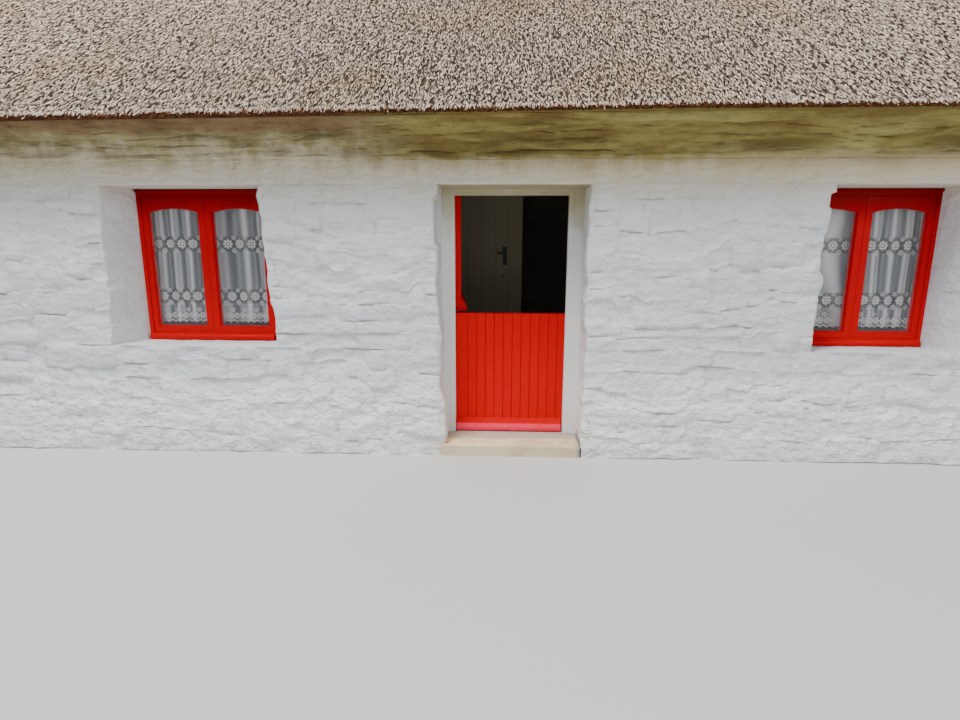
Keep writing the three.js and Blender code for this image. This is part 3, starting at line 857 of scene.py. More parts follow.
@dataclass(frozen=True)
class Concrete:
    """Worn cast concrete with sand and fine stone showing."""

    name: str = "concrete"
    light: Triple = (0.95, 0.77, 0.46)
    dark: Triple = (0.68, 0.53, 0.31)

    def material(self) -> bpy.types.Material:
        """Builds the material from stains, speckle and a dark crack mark.

        Returns:
            The material.
        """
        t = Tree(self.name)
        stains = t.noise(6.0, 5.0, 0.6)
        colour = t.blend(stains.span(0.35, 0.7), self.light, self.dark)
        grit = t.noise(220.0, 2.0)
        colour = t.blend(grit.span(0.58, 0.75, 0.0, 0.5), colour, (0.22, 0.19, 0.15))
        # Grey: a grey mended patch, grey with painted shade near the door, and painted shade on the upright
        # faces.
        colour = t.blend(t.mark("grey"), colour, t.blend(stains, (0.30, 0.28, 0.25), (0.50, 0.47, 0.42)))
        colour = t.blend(t.mark("crack"), colour, (0.05, 0.04, 0.03))
        return t.finish(colour, 0.88, t.relief(stains, 0.3, 0.01, t.relief(grit, 0.5, 0.002)))


@dataclass(frozen=True)
class Iron:
    """Black wrought iron with a little rust."""

    name: str = "wrought_iron"

    def material(self) -> bpy.types.Material:
        """Builds the material from hammered bump and rust patches.

        Returns:
            The material.
        """
        t = Tree(self.name)
        rust = t.noise(40.0, 5.0, 0.6).span(0.55, 0.75)
        colour = t.blend(rust, (0.022, 0.02, 0.019), (0.12, 0.05, 0.022))
        bump = t.relief(t.noise(90.0, 3.0), 0.4, 0.002)
        return t.finish(colour, rust.span(0.0, 1.0, 0.42, 0.8), bump, Metallic=0.55)


@dataclass(frozen=True)
class Glass:
    """Thin old window glass."""

    name: str = "window_glass"

    def material(self) -> bpy.types.Material:
        """Builds a clear, slightly wavy glass that lets most light straight through.

        Returns:
            The material.
        """
        t = Tree(self.name)
        wave = t.relief(t.noise(5.0, 1.0), 0.08, 0.01)
        return t.finish((0.40, 0.45, 0.47), 0.03, wave, Alpha=0.10, IOR=1.45, Specular_IOR_Level=0.6)


@dataclass(frozen=True)
class Lace:
    """Net lace with bands of rosettes; it reads the cloth's own UV map, in metres of cloth.

    Each flower is its place in the repeat, its height, its number of petals and its radius.
    """

    name: str = "lace"
    bands: tuple[float, ...] = (0.205, 0.60)
    repeat: float = 0.094
    band_flowers: tuple[tuple[float, ...], ...] = ((0.0, 0.0, 8.0, 0.037), (0.5, 0.045, 5.0, 0.017),
                                                   (0.5, -0.05, 5.0, 0.020))
    foot_flowers: tuple[tuple[float, ...], ...] = ((0.25, 0.055, 6.0, 0.026), (0.75, 0.055, 6.0, 0.026),
                                                   (0.0, 0.10, 5.0, 0.018))

    def material(self) -> bpy.types.Material:
        """Builds the net: threads show the weave's share of cloth, and rosettes stand out solid.

        Returns:
            The material, whose alpha is 1 on solid motifs and lower on plain net.
        """
        t = Tree(self.name)
        cloth = t.nodes.new("ShaderNodeUVMap")
        cloth.uv_map = "cloth"
        across, up = (t.axis(letter, Value(t, cloth.outputs["UV"])) for letter in "XY")
        flowers = [(shift, band + rise, petals, size) for band in self.bands
                   for shift, rise, petals, size in self.band_flowers]
        solid = 0.0
        for flower in flowers + list(self.foot_flowers):
            solid = t.math("MAXIMUM", solid, self._rosette(t, across, up, *flower))
        ground = 0.0
        for band in self.bands:
            ground = t.math("MAXIMUM", ground, abs(up - band).span(0.062, 0.045))
        solid = solid.most((up - t.mark("hem")).span(0.012, 0.008))
        threads = (t.math("PINGPONG", along, 0.002).span(0.0012, 0.0017) for along in (across, up))
        fold = t.math("POWER", t.mark("fold"), 1.4).scaled(0.66, 0.18)
        fold = fold * ground.scaled(-0.70, 1.0)
        alpha = t.math("MAXIMUM", *threads).scaled(0.16, fold).most(solid * 0.9)
        t.wire(alpha, t.shader["Alpha"])
        # Painted shade: the net is darker and bluish in the fold valleys, and pale on folds and motifs.
        colour = t.blend(solid.most(t.mark("fold")), (0.42, 0.47, 0.52), (0.90, 0.91, 0.92))
        return t.finish(colour, 0.9, t.relief(solid, 0.5, 0.002), Sheen_Weight=0.2)

    def _rosette(self, t: Tree, across: Value, up: Value, shift: float, rise: float, petals: float,
                 size: float) -> Value:
        """A flower in each repeat: radius below size times (0.86 + 0.14 cos(petals x angle)).

        Args:
            t: The material's tree.
            across: Distance along the cloth.
            up: Height above its foot.
            shift: Place of the flower in the repeat, from 0 to 1.
            rise: Height of its middle.
            petals: Number of petals.
            size: Its radius.

        Returns:
            Share of solid cloth, with a thin ring left open round the eye.
        """
        x = (t.math("FRACT", across / self.repeat + shift) - 0.5) * self.repeat
        y = up - rise
        angle, radius = t.math("ARCTAN2", y, x), t.math("SQRT", x * x + y * y)
        edge = t.math("COSINE", angle * petals).scaled(0.14 * size, 0.86 * size)
        petal = (radius - edge).span(0.0015, -0.0015)
        return petal * abs(radius - 0.38 * size).span(0.0012, 0.0035, 0.25, 1.0)


class Finishes:
    """Every material, built once."""

    def __init__(self) -> None:
        """Builds the materials."""
        red = (0.66, 0.0, 0.004)
        self.outside = Limewash().material()
        self.stack = Limewash("stack_limewash", stained=False).material()
        self.stalks = Reed("reed_stalks").loose()
        self.bed = Reed("reed_bed").packed()
        self.red = GlossPaint("red_gloss", red, (0.58, 0.001, 0.006)).material()
        self.window_red = GlossPaint("window_red", (0.60, 0.0, 0.005), (0.52, 0.001, 0.006),
                                     shade=0.8).material()
        # Pink on the drip board: partly faded paint and partly a painted sheen.
        self.faded_red_with_sheen = GlossPaint("faded_red_with_sheen", (0.96, 0.03, 0.08), (0.97, 0.12, 0.20), 0.4,
                                        (1.6, 22.0, 22.0), 0.8, sheltered=red).material()
        self.frame = FramePaint().material()
        # Cream paint set to a dark olive grey: painted shade of the dim room.
        self.cream = GlossPaint("cream_paint", (0.30, 0.29, 0.19), (0.24, 0.235, 0.15), 0.45,
                                groove_shade_and_fittings=0.4).material()
        self.timber = Timber().material()
        self.step = Concrete().material()
        self.floor = Concrete("floor_concrete", (0.30, 0.28, 0.25), (0.20, 0.19, 0.17)).material()
        self.iron = Iron().material()
        self.glass = Glass().material()
        self.lace = Lace().material()


@dataclass
class Rubble:
    """Relief of rubble laid in wandering courses under thick limewash.

    The courses between two level lines swell and pinch along the wall: each one's height is multiplied by
    a power of slow noise, and the sum is scaled back to fill the space. A stone's face stands in or out by
    a random amount that falls to nothing at its edges, and only stretches of its joints are open.
    """

    seed: int
    beds: tuple[float, ...]
    levels: tuple[int, ...]
    calm: Pairs = ()
    fractions: tuple[float, ...] = (0.0, 0.1, 0.35, 0.65, 0.9)
    depth: float = 1.0
    foot: float = 1.0
    wander: float = 0.03

    def __post_init__(self) -> None:
        """Draws the stone lengths, the stones' stand, tilt, turn and open ends, and the noise."""
        self.noise = Lattice(self.seed)
        rng = np.random.default_rng(self.seed + 1)
        courses = len(self.beds) - 1
        self.ends = -MARK + np.cumsum(rng.uniform(0.09, 0.40, (courses, 110)), axis=1)
        self.proud, self.tilt, self.turn = (rng.uniform(-most, most, (courses, 111))
                                            for most in (0.014, 0.010, 0.008))
        self.gape = unit(rng.uniform(-0.4, 1.0, (courses, 111)))
        self.course = np.append(np.repeat(np.arange(courses), len(self.fractions)), courses - 1)
        self.fraction = np.append(np.tile(self.fractions, courses), 1.0)

    def _level(self, index: int, x: np.ndarray) -> np.ndarray:
        """Height of a level line; all but the first and the last wander, away from the calm stretches.

        Args:
            index: Number of the bed joint.
            x: Marks along the wall.

        Returns:
            Its heights.
        """
        free = np.full_like(x, 0 < index < len(self.beds) - 1)
        for x0, x1 in self.calm:
            free *= 1.0 - near(np.maximum(0.0, np.maximum(x0 - x, x - x1)), 0.3)
        return self.beds[index] + self.wander * free * self.noise.at(x * 1.1, 3.3 * index)

    def lines(self, x: np.ndarray) -> np.ndarray:
        """Heights of the bed joints.

        Args:
            x: Marks along the wall.

        Returns:
            Heights of shape (beds, columns).
        """
        at, k = self.noise.at, np.arange(len(self.beds) - 1)[:, None]
        first, second, step = self.noise.stepped(x * 2.7 + 0.7 * at(x * 1.7, 3.9 * k), 7.7 * k, 5.13, 0.84)
        swell = 0.42 * (first + (second - first) * eased(step)) + 0.24 * at(x * 0.8, 9.7 * k)
        tall = np.diff(self.beds)[:, None] * np.exp(swell + 0.07 * at(x * 8.0, 5.3 * k + 40))
        lines = np.empty((len(self.beds), len(x)))
        for low, high in zip(self.levels[:-1], self.levels[1:]):
            run = np.concatenate([np.zeros((1, len(x))), np.cumsum(tall[low:high], axis=0)])
            z0, z1 = self._level(low, x), self._level(high, x)
            lines[low:high + 1] = z0 + (z1 - z0) * run / run[-1]
        return lines

    def surface(self, x: np.ndarray) -> tuple[np.ndarray, np.ndarray, np.ndarray]:
        """Works out every row at every x.

        A row lies at a fraction of its course. Grooves and ledges fade as exp(-(distance / width)²) and
        exp(-distance / width) from the joints; the face swells to its stand as 1 - exp(-distance / 18 mm).

        Args:
            x: Marks along the wall.

        Returns:
            Height, relief and joint share, all of shape (rows, columns).
        """
        at, k, f = self.noise.at, self.course[:, None], self.fraction[:, None]
        lines = self.lines(x)
        low, high = lines[self.course], lines[self.course + 1]
        z = low * (1 - f) + high * f
        slanted = x + 0.03 * at(x * 2.0, f * 1.5 + k * 4.1)
        stone = np.stack([np.searchsorted(self.ends[c], row) for c, row in zip(self.course, slanted)])
        ends = np.pad(self.ends, ((0, 0), (1, 1)), constant_values=(-7.6, 60.0))
        left, right = ends[k, stone], ends[k, stone + 1]
        to_side, to_bed = np.minimum(slanted - left, right - slanted), np.minimum(f, 1 - f) * (high - low)
        line = self.course + (self.fraction >= 0.5)
        fall = (np.gradient(lines, axis=1) / np.gradient(x).clip(0.002))[line]
        line = line[:, None]
        gaping = 2.6 * at(x * 3.6, line * 7.7) + 0.6 * at(x * 13, line * 3.1)
        gaping = unit(gaping + 0.20 + 0.25 * at(x * 0.8, line * 0.5)) * near(fall, 0.2)
        bed_groove = near(to_bed, 0.0048) * gaping
        side_groove = near(to_side, 0.012) * self.gape[k, stone] * 0.5
        pillow = 1 - np.exp(-np.minimum(to_bed * 1.1, to_side * 0.7) / 0.018)
        middle = np.clip((slanted - 0.5 * (left + right)) * 4, -1, 1)
        face = self.proud[k, stone] + self.tilt[k, stone] * (f - 0.5) * 2 + self.turn[k, stone] * middle
        ledge = np.exp(-to_bed / 0.022) * gaping * np.where(f < 0.5, 0.0075, -0.0045)
        lumps = 0.010 * at(x * 2.0, z * 3.1) + 0.0075 * at(x * 6.5 + 9, z * 12.0)
        foot = unit((0.40 + 0.05 * at(x * 1.7, 0) - z) / 0.05) * self.foot
        fine = 0.0036 * (1 + 2.4 * foot) * self.noise.layered(x * 14, z * 24, 2) + 0.010 * foot
        relief = face * pillow + ledge + lumps + fine + 0.003 - 0.011 * bed_groove - 0.004 * side_groove
        return z, relief * self.depth, np.maximum(bed_groove, side_groove)


@dataclass
class Stretch:
    """A wall's outer skin: a path in plan carried up through the rows of its rubble.

    Along the path each column has a place in plan, the way it faces, a mark for the rubble and the share
    of the relief that it takes, from 1 on an outer face to about 0.3 in a reveal.
    """

    place: np.ndarray
    facing: np.ndarray
    mark: np.ndarray
    share: np.ndarray

    @staticmethod
    def along(corners: list[tuple[float, float]], step: list[float], share: list[float], radius: float = 0.03,
              rounded: tuple[int, ...] = ()) -> "Stretch":
        """Walks straight runs between corners; a rounded corner is a quarter turn of the radius.

        Args:
            corners: Points in plan, with the outer side on the right hand of the walk.
            step: Spacing of the columns on each run.
            share: Share of the relief on each run.
            radius: Radius of the rounded corners.
            rounded: Indices of the corners that are rounded.

        Returns:
            The stretch.
        """
        points = np.asarray(corners, float)
        ways = np.diff(points, axis=0)
        lengths = np.linalg.norm(ways, axis=1)
        ways /= lengths[:, None]
        outs = np.stack([ways[:, 1], -ways[:, 0]], axis=1)
        place, facing, shares = [], [], []
        for i, length in enumerate(lengths):
            start, stop = (radius if end in rounded else 0.0 for end in (i, i + 1))
            marks = spaced(start, length - stop, step[i])
            place.append(points[i] + marks[:, None] * ways[i])
            facing.append(np.repeat(outs[i][None], len(marks), axis=0))
            shares.append(np.full(len(marks), share[i]))
            if stop:
                turn = np.linspace(0, np.pi / 2, 6)[1:-1, None]
                normal = np.cos(turn) * outs[i] + np.sin(turn) * outs[i + 1]
                place.append(points[i + 1] - radius * (outs[i] + outs[i + 1]) + radius * normal)
                facing.append(normal)
                shares.append(np.full(len(turn), 0.5 * (share[i] + share[i + 1])))
        mark = walked(np.concatenate(place))
        fade = unit(np.minimum(mark, mark[-1] - mark) / 0.08)
        return Stretch(np.concatenate(place), np.concatenate(facing), mark, np.concatenate(shares) * fade)


@dataclass
class Opening:
    """A window hole in a wall seen from outside: how far its arrises stand from its middle.

    Each arris has a half width at the top and at the bottom, unless a line of (height, half width) pairs
    gives its stone ends.
    """

    middle: float
    arris_left: tuple[float, float]
    arris_right: tuple[float, float]
    lap_left: bool = False
    closed: bool = False
    radius: float = 0.02
    zigzag: float = 0.009
    line_left: Pairs = ()
    line_right: Pairs = ()

    def half(self, side: int) -> float:
        """Mean half width at the wall's face, on side -1 or 1."""
        return float(np.mean(self.arris_left if side < 0 else self.arris_right))

    def edge(self, side: int, z: np.ndarray, noise: Lattice) -> np.ndarray:
        """Half width of the arris: its line, or a straight lean plus stone ends that jump at each course.

        Args:
            side: -1 on the left, 1 on the right.
            z: Heights.
            noise: The rubble's noise.

        Returns:
            Half width at each height.
        """
        line = self.line_left if side < 0 else self.line_right
        if line:
            return np.interp(z, *zip(*line)) + 0.0025 * noise.layered(z * 24, 3.0 * side, 2)
        top, bottom = self.arris_left if side < 0 else self.arris_right
        row = 11.0 * side + self.middle
        first, second, step = noise.stepped(z * 7.5, row, 3.7, 0.75)
        ragged = self.zigzag * (first + (second - first) * step ** 2) + 0.004 * noise.layered(z * 24, row, 2)
        return bottom + (top - bottom) * unit((z - SILL_Z) / (LINTEL_Z - SILL_Z)) + ragged


@dataclass
class Wall:
    """A straight wall built facing -Y, and turned to its place at the end."""

    rubble: Rubble
    face: float = FACE_Y
    thick: float = 0.6
    room_half: float = WINDOW_HALF + 0.096

    def skin(self, stretch: Stretch, room: tuple[float, float], seal: float,
             openings: tuple[Opening, ...] = (), lid: bool = False) -> Skin:
        """Carries the stretch up through the rubble's rows and cuts the openings.

        A point stands off its place in plan, the way its column faces, by the relief times the share.

        Args:
            stretch: The path in plan, whose face runs along +X.
            room: Left and right end of the wall's inner face.
            seal: Height below the top over which the relief fades.
            openings: Window holes on the face.
            lid: Whether the top is closed too.

        Returns:
            The skin.
        """
        skin = Skin()
        z, relief, joint = self.rubble.surface(stretch.mark)
        free = unit((self.rubble.beds[-1] - z) / seal)
        out = relief * stretch.share * free + 0.003 * stretch.share * (1 - free)
        x, y = (stretch.place[:, i] + stretch.facing[:, i] * out for i in range(2))
        points = xyz(x, y, z)
        keep = np.ones((len(z) - 1, z.shape[1] - 1), bool)
        plans = [self._plan(opening, stretch, z) for opening in openings]
        for opening, (r0, r1, c0, c1) in zip(openings, plans):
            self._bend_edges(opening, points, (c0, c1))
            keep[r0:r1, c0:c1] = False
        index = skin.add(points, joint=joint * free * unit(stretch.share))
        skin.sheet(index, keep)
        face = np.flatnonzero(stretch.facing[:, 1] < -0.05)
        for row in (0, -1) if lid else (0,):
            across_to(skin, index[row, face], points[row, face], room, self.thick - self.face, up=row < 0)
        for opening, plan in zip(openings, plans):
            self._reveal(skin, opening, index, points, plan)
        return skin

    def _plan(self, opening: Opening, stretch: Stretch, z: np.ndarray) -> tuple[int, int, int, int]:
        """Finds the rows and columns nearest to a hole's edges.

        Args:
            opening: The hole.
            stretch: The wall's path.
            z: Heights of shape (rows, columns).

        Returns:
            First and last row, first and last column.
        """
        x = np.where(np.abs(stretch.facing[:, 1] + 1) < 1e-6, stretch.place[:, 0], np.inf)
        c0, c1 = (int(np.argmin(np.abs(x - (opening.middle + side * (opening.half(side) + opening.radius)))))
                  for side in (-1, 1))
        r0, r1 = (int(np.argmin(np.abs(z[:, (c0 + c1) // 2] - level))) for level in (SILL_Z, LINTEL_Z))
        return r0, r1, c0, c1

    def _bend_edges(self, opening: Opening, points: np.ndarray, columns: tuple[int, int]) -> None:
        """Slides the columns near a hole, by less the farther they are, so that its edges follow the arris.

        Args:
            opening: The hole.
            points: Points of shape (rows, columns, 3), which are changed.
            columns: The hole's first and last column.
        """
        for side, column in zip((-1, 1), columns):
            x, z = points[:, column, 0].copy(), points[:, column, 2]
            lean = opening.middle + side * (opening.edge(side, z, self.rubble.noise) + opening.radius) - x
            beyond = np.maximum(SILL_Z - z, z - LINTEL_Z if opening.closed else -1.0)
            spread = unit(1 - np.abs(points[:, :, 0] - x[:, None]) / 0.16)
            points[:, :, 0] += eased(spread) * (lean * near(np.maximum(0, beyond), 0.05))[:, None]

    def _reveal(self, skin: Skin, opening: Opening, index: np.ndarray, points: np.ndarray,
                plan: tuple[int, int, int, int]) -> None:
        """Carries the hole's edge round the arris and back to the room side.

        The edge runs down the left side, along the sill, up the right side and, where the top is closed,
        back along the top. Rows go in: a quarter turn, the frame's face, the frame's back and the room.

        Args:
            skin: Where it goes.
            opening: The hole.
            index: Indices of the wall's points.
            points: The wall's points.
            plan: First and last row and column of the hole.
        """
        r0, r1, c0, c1 = plan
        walk = [(r, c0) for r in range(r1, r0, -1)] + [(r0, c) for c in range(c0, c1)]
        walk += [(r, c1) for r in range(r0, r1)]
        walk += [(r1, c) for c in range(c1, c0, -1)] if opening.closed else [(r1, c1)]
        row, column = np.array(walk).T
        x, y, z = points[row, column].T
        x_left, x_right, mid = points[row, c0, 0], points[row, c1, 0], opening.middle
        share = unit((x - x_left) / (x_right - x_left))
        on_left, on_right = column == c0, column == c1

        def ring(left: Numbers, right: Numbers, depth: Numbers) -> np.ndarray:
            """One row of the reveal between a left and a right edge at a depth."""
            return xyz(left + (right - left) * share, depth, z)

        edge_l, edge_r = (mid + side * opening.edge(side, z, self.rubble.noise) for side in (-1, 1))
        rows = [ring(x_left + (edge_l - x_left) * np.sin(turn), x_right + (edge_r - x_right) * np.sin(turn),
                     y + opening.radius * (1 - np.cos(turn))) for turn in np.linspace(0, np.pi / 2, 5)[1:]]
        half = WINDOW_HALF + GAP
        lap = edge_l - 0.012 if opening.lap_left else mid - half
        arris, deep = rows[3], ring(lap, mid + half, FRAME_Y - GAP)
        for i, part in enumerate(np.linspace(0, 1, 8)[1:-1]):
            wobble = 0.004 * self.rubble.noise.at(z * 13 + 3 * i, x * 13 + 2 * i)
            between = arris * (1 - part) + deep * part
            between[:, 0] += np.where(on_left, wobble, 0) - np.where(on_right, wobble, 0)
            between[:, 2] += np.where(on_left | on_right, 0, wobble)
            rows.append(between)
        inwards = ((half, FRAME_Y - 0.0002), (half, FRAME_Y + FRAME_DEEP),
                   (self.room_half, self.thick - self.face))
        rows += [deep, *(ring(mid - reach, mid + reach, depth) for reach, depth in inwards)]
        placed = skin.add(np.stack(rows), joint=0.0)
        skin.sheet(np.concatenate([index[row, column][None], placed]), wrap=opening.closed)

    def room_side(self, skin: Skin, room: tuple[float, float], openings: tuple[Opening, ...]) -> None:
        """Adds the inner face with its window holes.

        Args:
            skin: Where it goes.
            room: Left and right end of the face.
            openings: The window holes.
        """
        marks = [room[0], *(o.middle + side * self.room_half for o in openings for side in (-1, 1)), room[1]]
        levels = sorted({0.0, SILL_Z, LINTEL_Z, self.rubble.beds[-1]})
        columns, rows = (joined(*(spaced(a, b, 0.3) for a, b in zip(line[:-1], line[1:])))
                         for line in (marks, levels))
        mid_x, mid_z = 0.5 * (columns[:-1] + columns[1:]), 0.5 * (rows[:-1] + rows[1:])[:, None]
        inside = (mid_z > SILL_Z) & (mid_z < LINTEL_Z)
        hole = sum(np.abs(mid_x - o.middle) < self.room_half for o in openings) > 0
        skin.sheet(skin.add(xyz(columns, self.thick - self.face, rows[:, None])), ~(hole & inside), flip=True)


def across_to(skin: Skin, ring: np.ndarray, edge: np.ndarray, room: tuple[float, float], y: float,
              up: bool) -> None:
    """Spans a level strip from an edge of the outer face, in +X order, to the inner face at y."""
    rows = [ring, skin.add(xyz(np.clip(edge[:, 0], *room), y, edge[:, 2]))]
    skin.sheet(np.stack(rows if up else rows[::-1]))


# Marks along the walls start this far left of the middle; level courses stay level beside the windows
MARK = 7.0
CALM = tuple((MARK + x - 0.72, MARK + x + 0.72) for x in (-WINDOW_X, WINDOW_X))
FRONT_BEDS = (0.0, 0.15, 0.27, 0.385, 0.53, 0.655, 0.786, 0.905, 1.0, 1.125, 1.215, 1.355, 1.465, 1.585, 1.69,
              1.79, 1.894)

# Stone ends along the openings: heights with half widths for the windows and x for the doorway.
# Their points were read by eye in the photograph, a scratch script turned them into metres on the wall's face
# with the camera's place below, and many were then rounded or moved by hand.
RIGHT_WINDOW_ARRIS = (
    (0.786, 0.418), (0.98, 0.419), (1.09, 0.414), (1.2, 0.403), (1.25, 0.392), (1.313, 0.394),
    (1.325, 0.425), (1.384, 0.416), (1.45, 0.422), (1.476, 0.410), (1.558, 0.414), (1.6, 0.397),
    (1.66, 0.398), (1.74, 0.392), (1.75, 0.408), (1.832, 0.407), (1.842, 0.375), (1.894, 0.378))
LEFT_WINDOW_ARRIS = (
    (0.786, 0.597), (0.9, 0.597), (1.017, 0.601), (1.068, 0.590), (1.1, 0.576), (1.166, 0.575),
    (1.228, 0.566), (1.29, 0.562), (1.327, 0.570), (1.388, 0.561), (1.441, 0.552), (1.475, 0.556),
    (1.517, 0.547), (1.666, 0.545), (1.717, 0.535), (1.768, 0.531), (1.83, 0.522), (1.865, 0.538),
    (1.894, 0.538))
DOORWAY_LEFT_ARRIS = (
    (0.0, -0.572), (0.16, -0.576), (0.256, -0.58), (0.384, -0.591), (0.473, -0.603), (0.536, -0.608),
    (0.636, -0.599), (0.883, -0.596), (0.968, -0.603), (1.016, -0.603), (1.07, -0.614), (1.24, -0.624),
    (1.35, -0.611), (1.49, -0.609), (1.51, -0.635), (1.81, -0.640), (1.825, -0.612), (1.894, -0.612))
DOORWAY_RIGHT_ARRIS = (
    (0.0, 0.414), (0.34, 0.404), (0.437, 0.404), (0.46, 0.412), (0.72, 0.408), (0.74, 0.418), (0.9, 0.418),
    (0.93, 0.405), (1.118, 0.396), (1.24, 0.409), (1.43, 0.396), (1.568, 0.404), (1.72, 0.400),
    (1.894, 0.409))


@dataclass
class FrontWalls:
    """The front wall: a stretch each side of the doorway, and the head with its smooth lintel band."""

    finishes: Finishes
    fine: float = 0.0152
    coarse: float = 0.045
    fine_from: float = -3.7
    fine_to: float = 3.05

    def build(self) -> None:
        """Builds the three pieces."""
        rubble = Rubble(11, FRONT_BEDS, (0, 6, 16), CALM, (0.0, 0.05, 0.13, 0.28, 0.5, 0.72, 0.87, 0.95))
        left = Opening(-WINDOW_X, (0.555, 0.60), (0.530, 0.60), zigzag=0.016, line_right=LEFT_WINDOW_ARRIS)
        right = Opening(WINDOW_X, (0.369, 0.409), (0.545, 0.585), lap_left=True, zigzag=0.016,
                        line_left=RIGHT_WINDOW_ARRIS)
        self._side("left", rubble, (-END_X, self.fine_from, -0.615, -0.6313, -0.7), DOORWAY_LEFT_ARRIS, left)
        self._side("right", rubble, (END_X, self.fine_to, 0.415, 0.4093, 0.48), DOORWAY_RIGHT_ARRIS, right)
        self._head()

    def _side(self, side: str, rubble: Rubble, plan: tuple[float, ...], arris: Pairs,
              window: Opening) -> None:
        """One side of the doorway, from the wall's end along the face and back through the doorway's reveal.

        Its mark is x on the face and goes on round the ends. The doorway's arris then slides to its line.

        Args:
            side: Side of the doorway.
            rubble: The relief of both sides.
            plan: x of the wall's end, the finer columns' start, the arris, the rebate and the room's edge.
            arris: The doorway's stone ends.
            window: The window hole.
        """
        end, finer, edge, rebate, room = plan
        back, front = -2.21, FRAME_Y - GAP
        corners = [(end, -INNER_Y), (end, -FACE_Y), (finer, -FACE_Y), (edge, -FACE_Y), (edge, front),
                   (rebate, front), (rebate, back), (room, back), (room, -INNER_Y)]
        steps = [self.coarse, self.coarse, self.fine, 0.03, 0.05, 0.05, 0.05, 0.05]
        shares, rounded = [1, 1, 1, 0.35, 0.02, 0.02, 0.02, 0.05], (1, 3)
        if end > 0:
            corners, steps, shares, rounded = corners[::-1], steps[::-1], shares[::-1], (5, 7)
        stretch = Stretch.along(corners, steps, shares, 0.022, rounded)
        x, y = stretch.place.T
        stretch.mark = x + MARK + np.sign(end) * np.where(np.abs(x) > 4.5, FACE_Y + y, -(FACE_Y + y))
        wall, inner = Wall(rubble), (min(end, room), max(end, room))
        skin = wall.skin(stretch, inner, 0.03, (window,))
        block = skin.points[0]
        x, y, z = block.T
        wanted = np.interp(z, *zip(*arris)) + 0.003 * rubble.noise.layered(z * 22, edge * 50, 2)
        spread = unit(1 - np.abs(x - edge) / 0.14) * unit((front - y) / 0.1)
        block[:, 0] = x + (wanted - edge) * eased(spread)
        wall.room_side(skin, inner, (window,))
        skin.build(f"front_wall_{side}_rubble", self.finishes.outside, Slot.STONE, (f"front_wall_{side}",))

    def _head(self) -> None:
        """The head: from the room, under the lintel, round its front edge and up to the corbelled wall top.

        The lower 0.16 m is a smooth band. Above it thin stones in low courses lean out to carry the thatch;
        they stand off the corbel's curve along its normal, which turns from level to mostly down.
        """
        noise, radius = Lattice(23), 0.014
        x = joined(spaced(-END_X, self.fine_from, self.coarse),
                   spaced(self.fine_from, self.fine_to, self.fine), spaced(self.fine_to, END_X, self.coarse))
        ys, turn = spaced(-INNER_Y, -FACE_Y + radius, 0.08), np.linspace(0, np.pi / 2, 5)[1:]
        rise = spaced(LINTEL_Z + radius, CORBEL_Z[0] - 0.006, 0.012)[1:]
        edge_y, edge_z = radius - FACE_Y - radius * np.sin(turn), LINTEL_Z + radius - radius * np.cos(turn)
        y = np.concatenate([ys, edge_y, np.full(len(rise), -FACE_Y)])[:, None]
        z = np.concatenate([np.full(len(ys), LINTEL_Z + GAP), edge_z, rise])[:, None]
        front = (np.arange(len(y)) >= len(ys))[:, None]
        smooth = 0.003 + 0.003 * noise.at(x * 2.3, z * 5) + 0.0014 * noise.layered(x * 9, z * 9, 2)
        spans = ((-2.94, -1.81), (-0.625, 0.415), (1.98, 2.94))
        solid = 1 - sum(unit(np.minimum(x - a, b - x) / 0.03 + 0.5) for a, b in spans)
        ends = unit((END_X - np.abs(x)) / 0.05)
        out = (smooth * ends + solid * (FACE_Y + y).clip(0, radius)) * front
        lip = 0.004 * noise.layered(x * 5, 0 * z, 2) * near(z - LINTEL_Z, 0.02) * (1 - solid) * front
        low, below = xyz(x, y - out, z + lip), 0 * (z + x)
        # The soffit over the door, which takes painted shade.
        door_soffit_shade = unit((0.62 - np.abs(x - DOOR_X)) / 0.06) * (1 - front)
        reach = walked(np.column_stack([CORBEL_OUT, CORBEL_Z]))
        tilt = np.arctan2(np.gradient(CORBEL_OUT, reach), np.gradient(CORBEL_Z, reach))
        beds = tuple(reach[-1] * np.array([0.0, 0.15, 0.34, 0.5, 0.68, 0.84, 1.0]))
        stones = Rubble(27, beds, (0, 6), (), (0.0, 0.07, 0.2, 0.4, 0.65, 0.85, 0.95), 1.1, 0.0)
        s, relief, joint = stones.surface(x + MARK)
        folds = noise.layered(x * 1.9 + 30, s * 13 + 0.8 * noise.at(x * 1.3, s * 2), 3)
        stand = (relief + 0.034 * folds + 0.010) * unit(s / 0.018) * unit((reach[-1] - s) / 0.03) * ends
        stand = stand + 0.004 * unit(1 - s / 0.018)
        lean = np.interp(s, reach, tilt)
        z = np.interp(s, reach, CORBEL_Z) + 0.0085 * unit((s - reach[-1]) / 0.06 + 1)
        z = z + 0.016 * noise.layered(x * 1.6, 0 * s, 3) * unit(1 - s / 0.1)
        y = -FACE_Y - np.interp(s, reach, CORBEL_OUT) - stand * np.cos(lean)
        points = np.concatenate([low, xyz(x, y, z - stand * np.sin(lean) + droop(x, y))])
        skin = Skin()
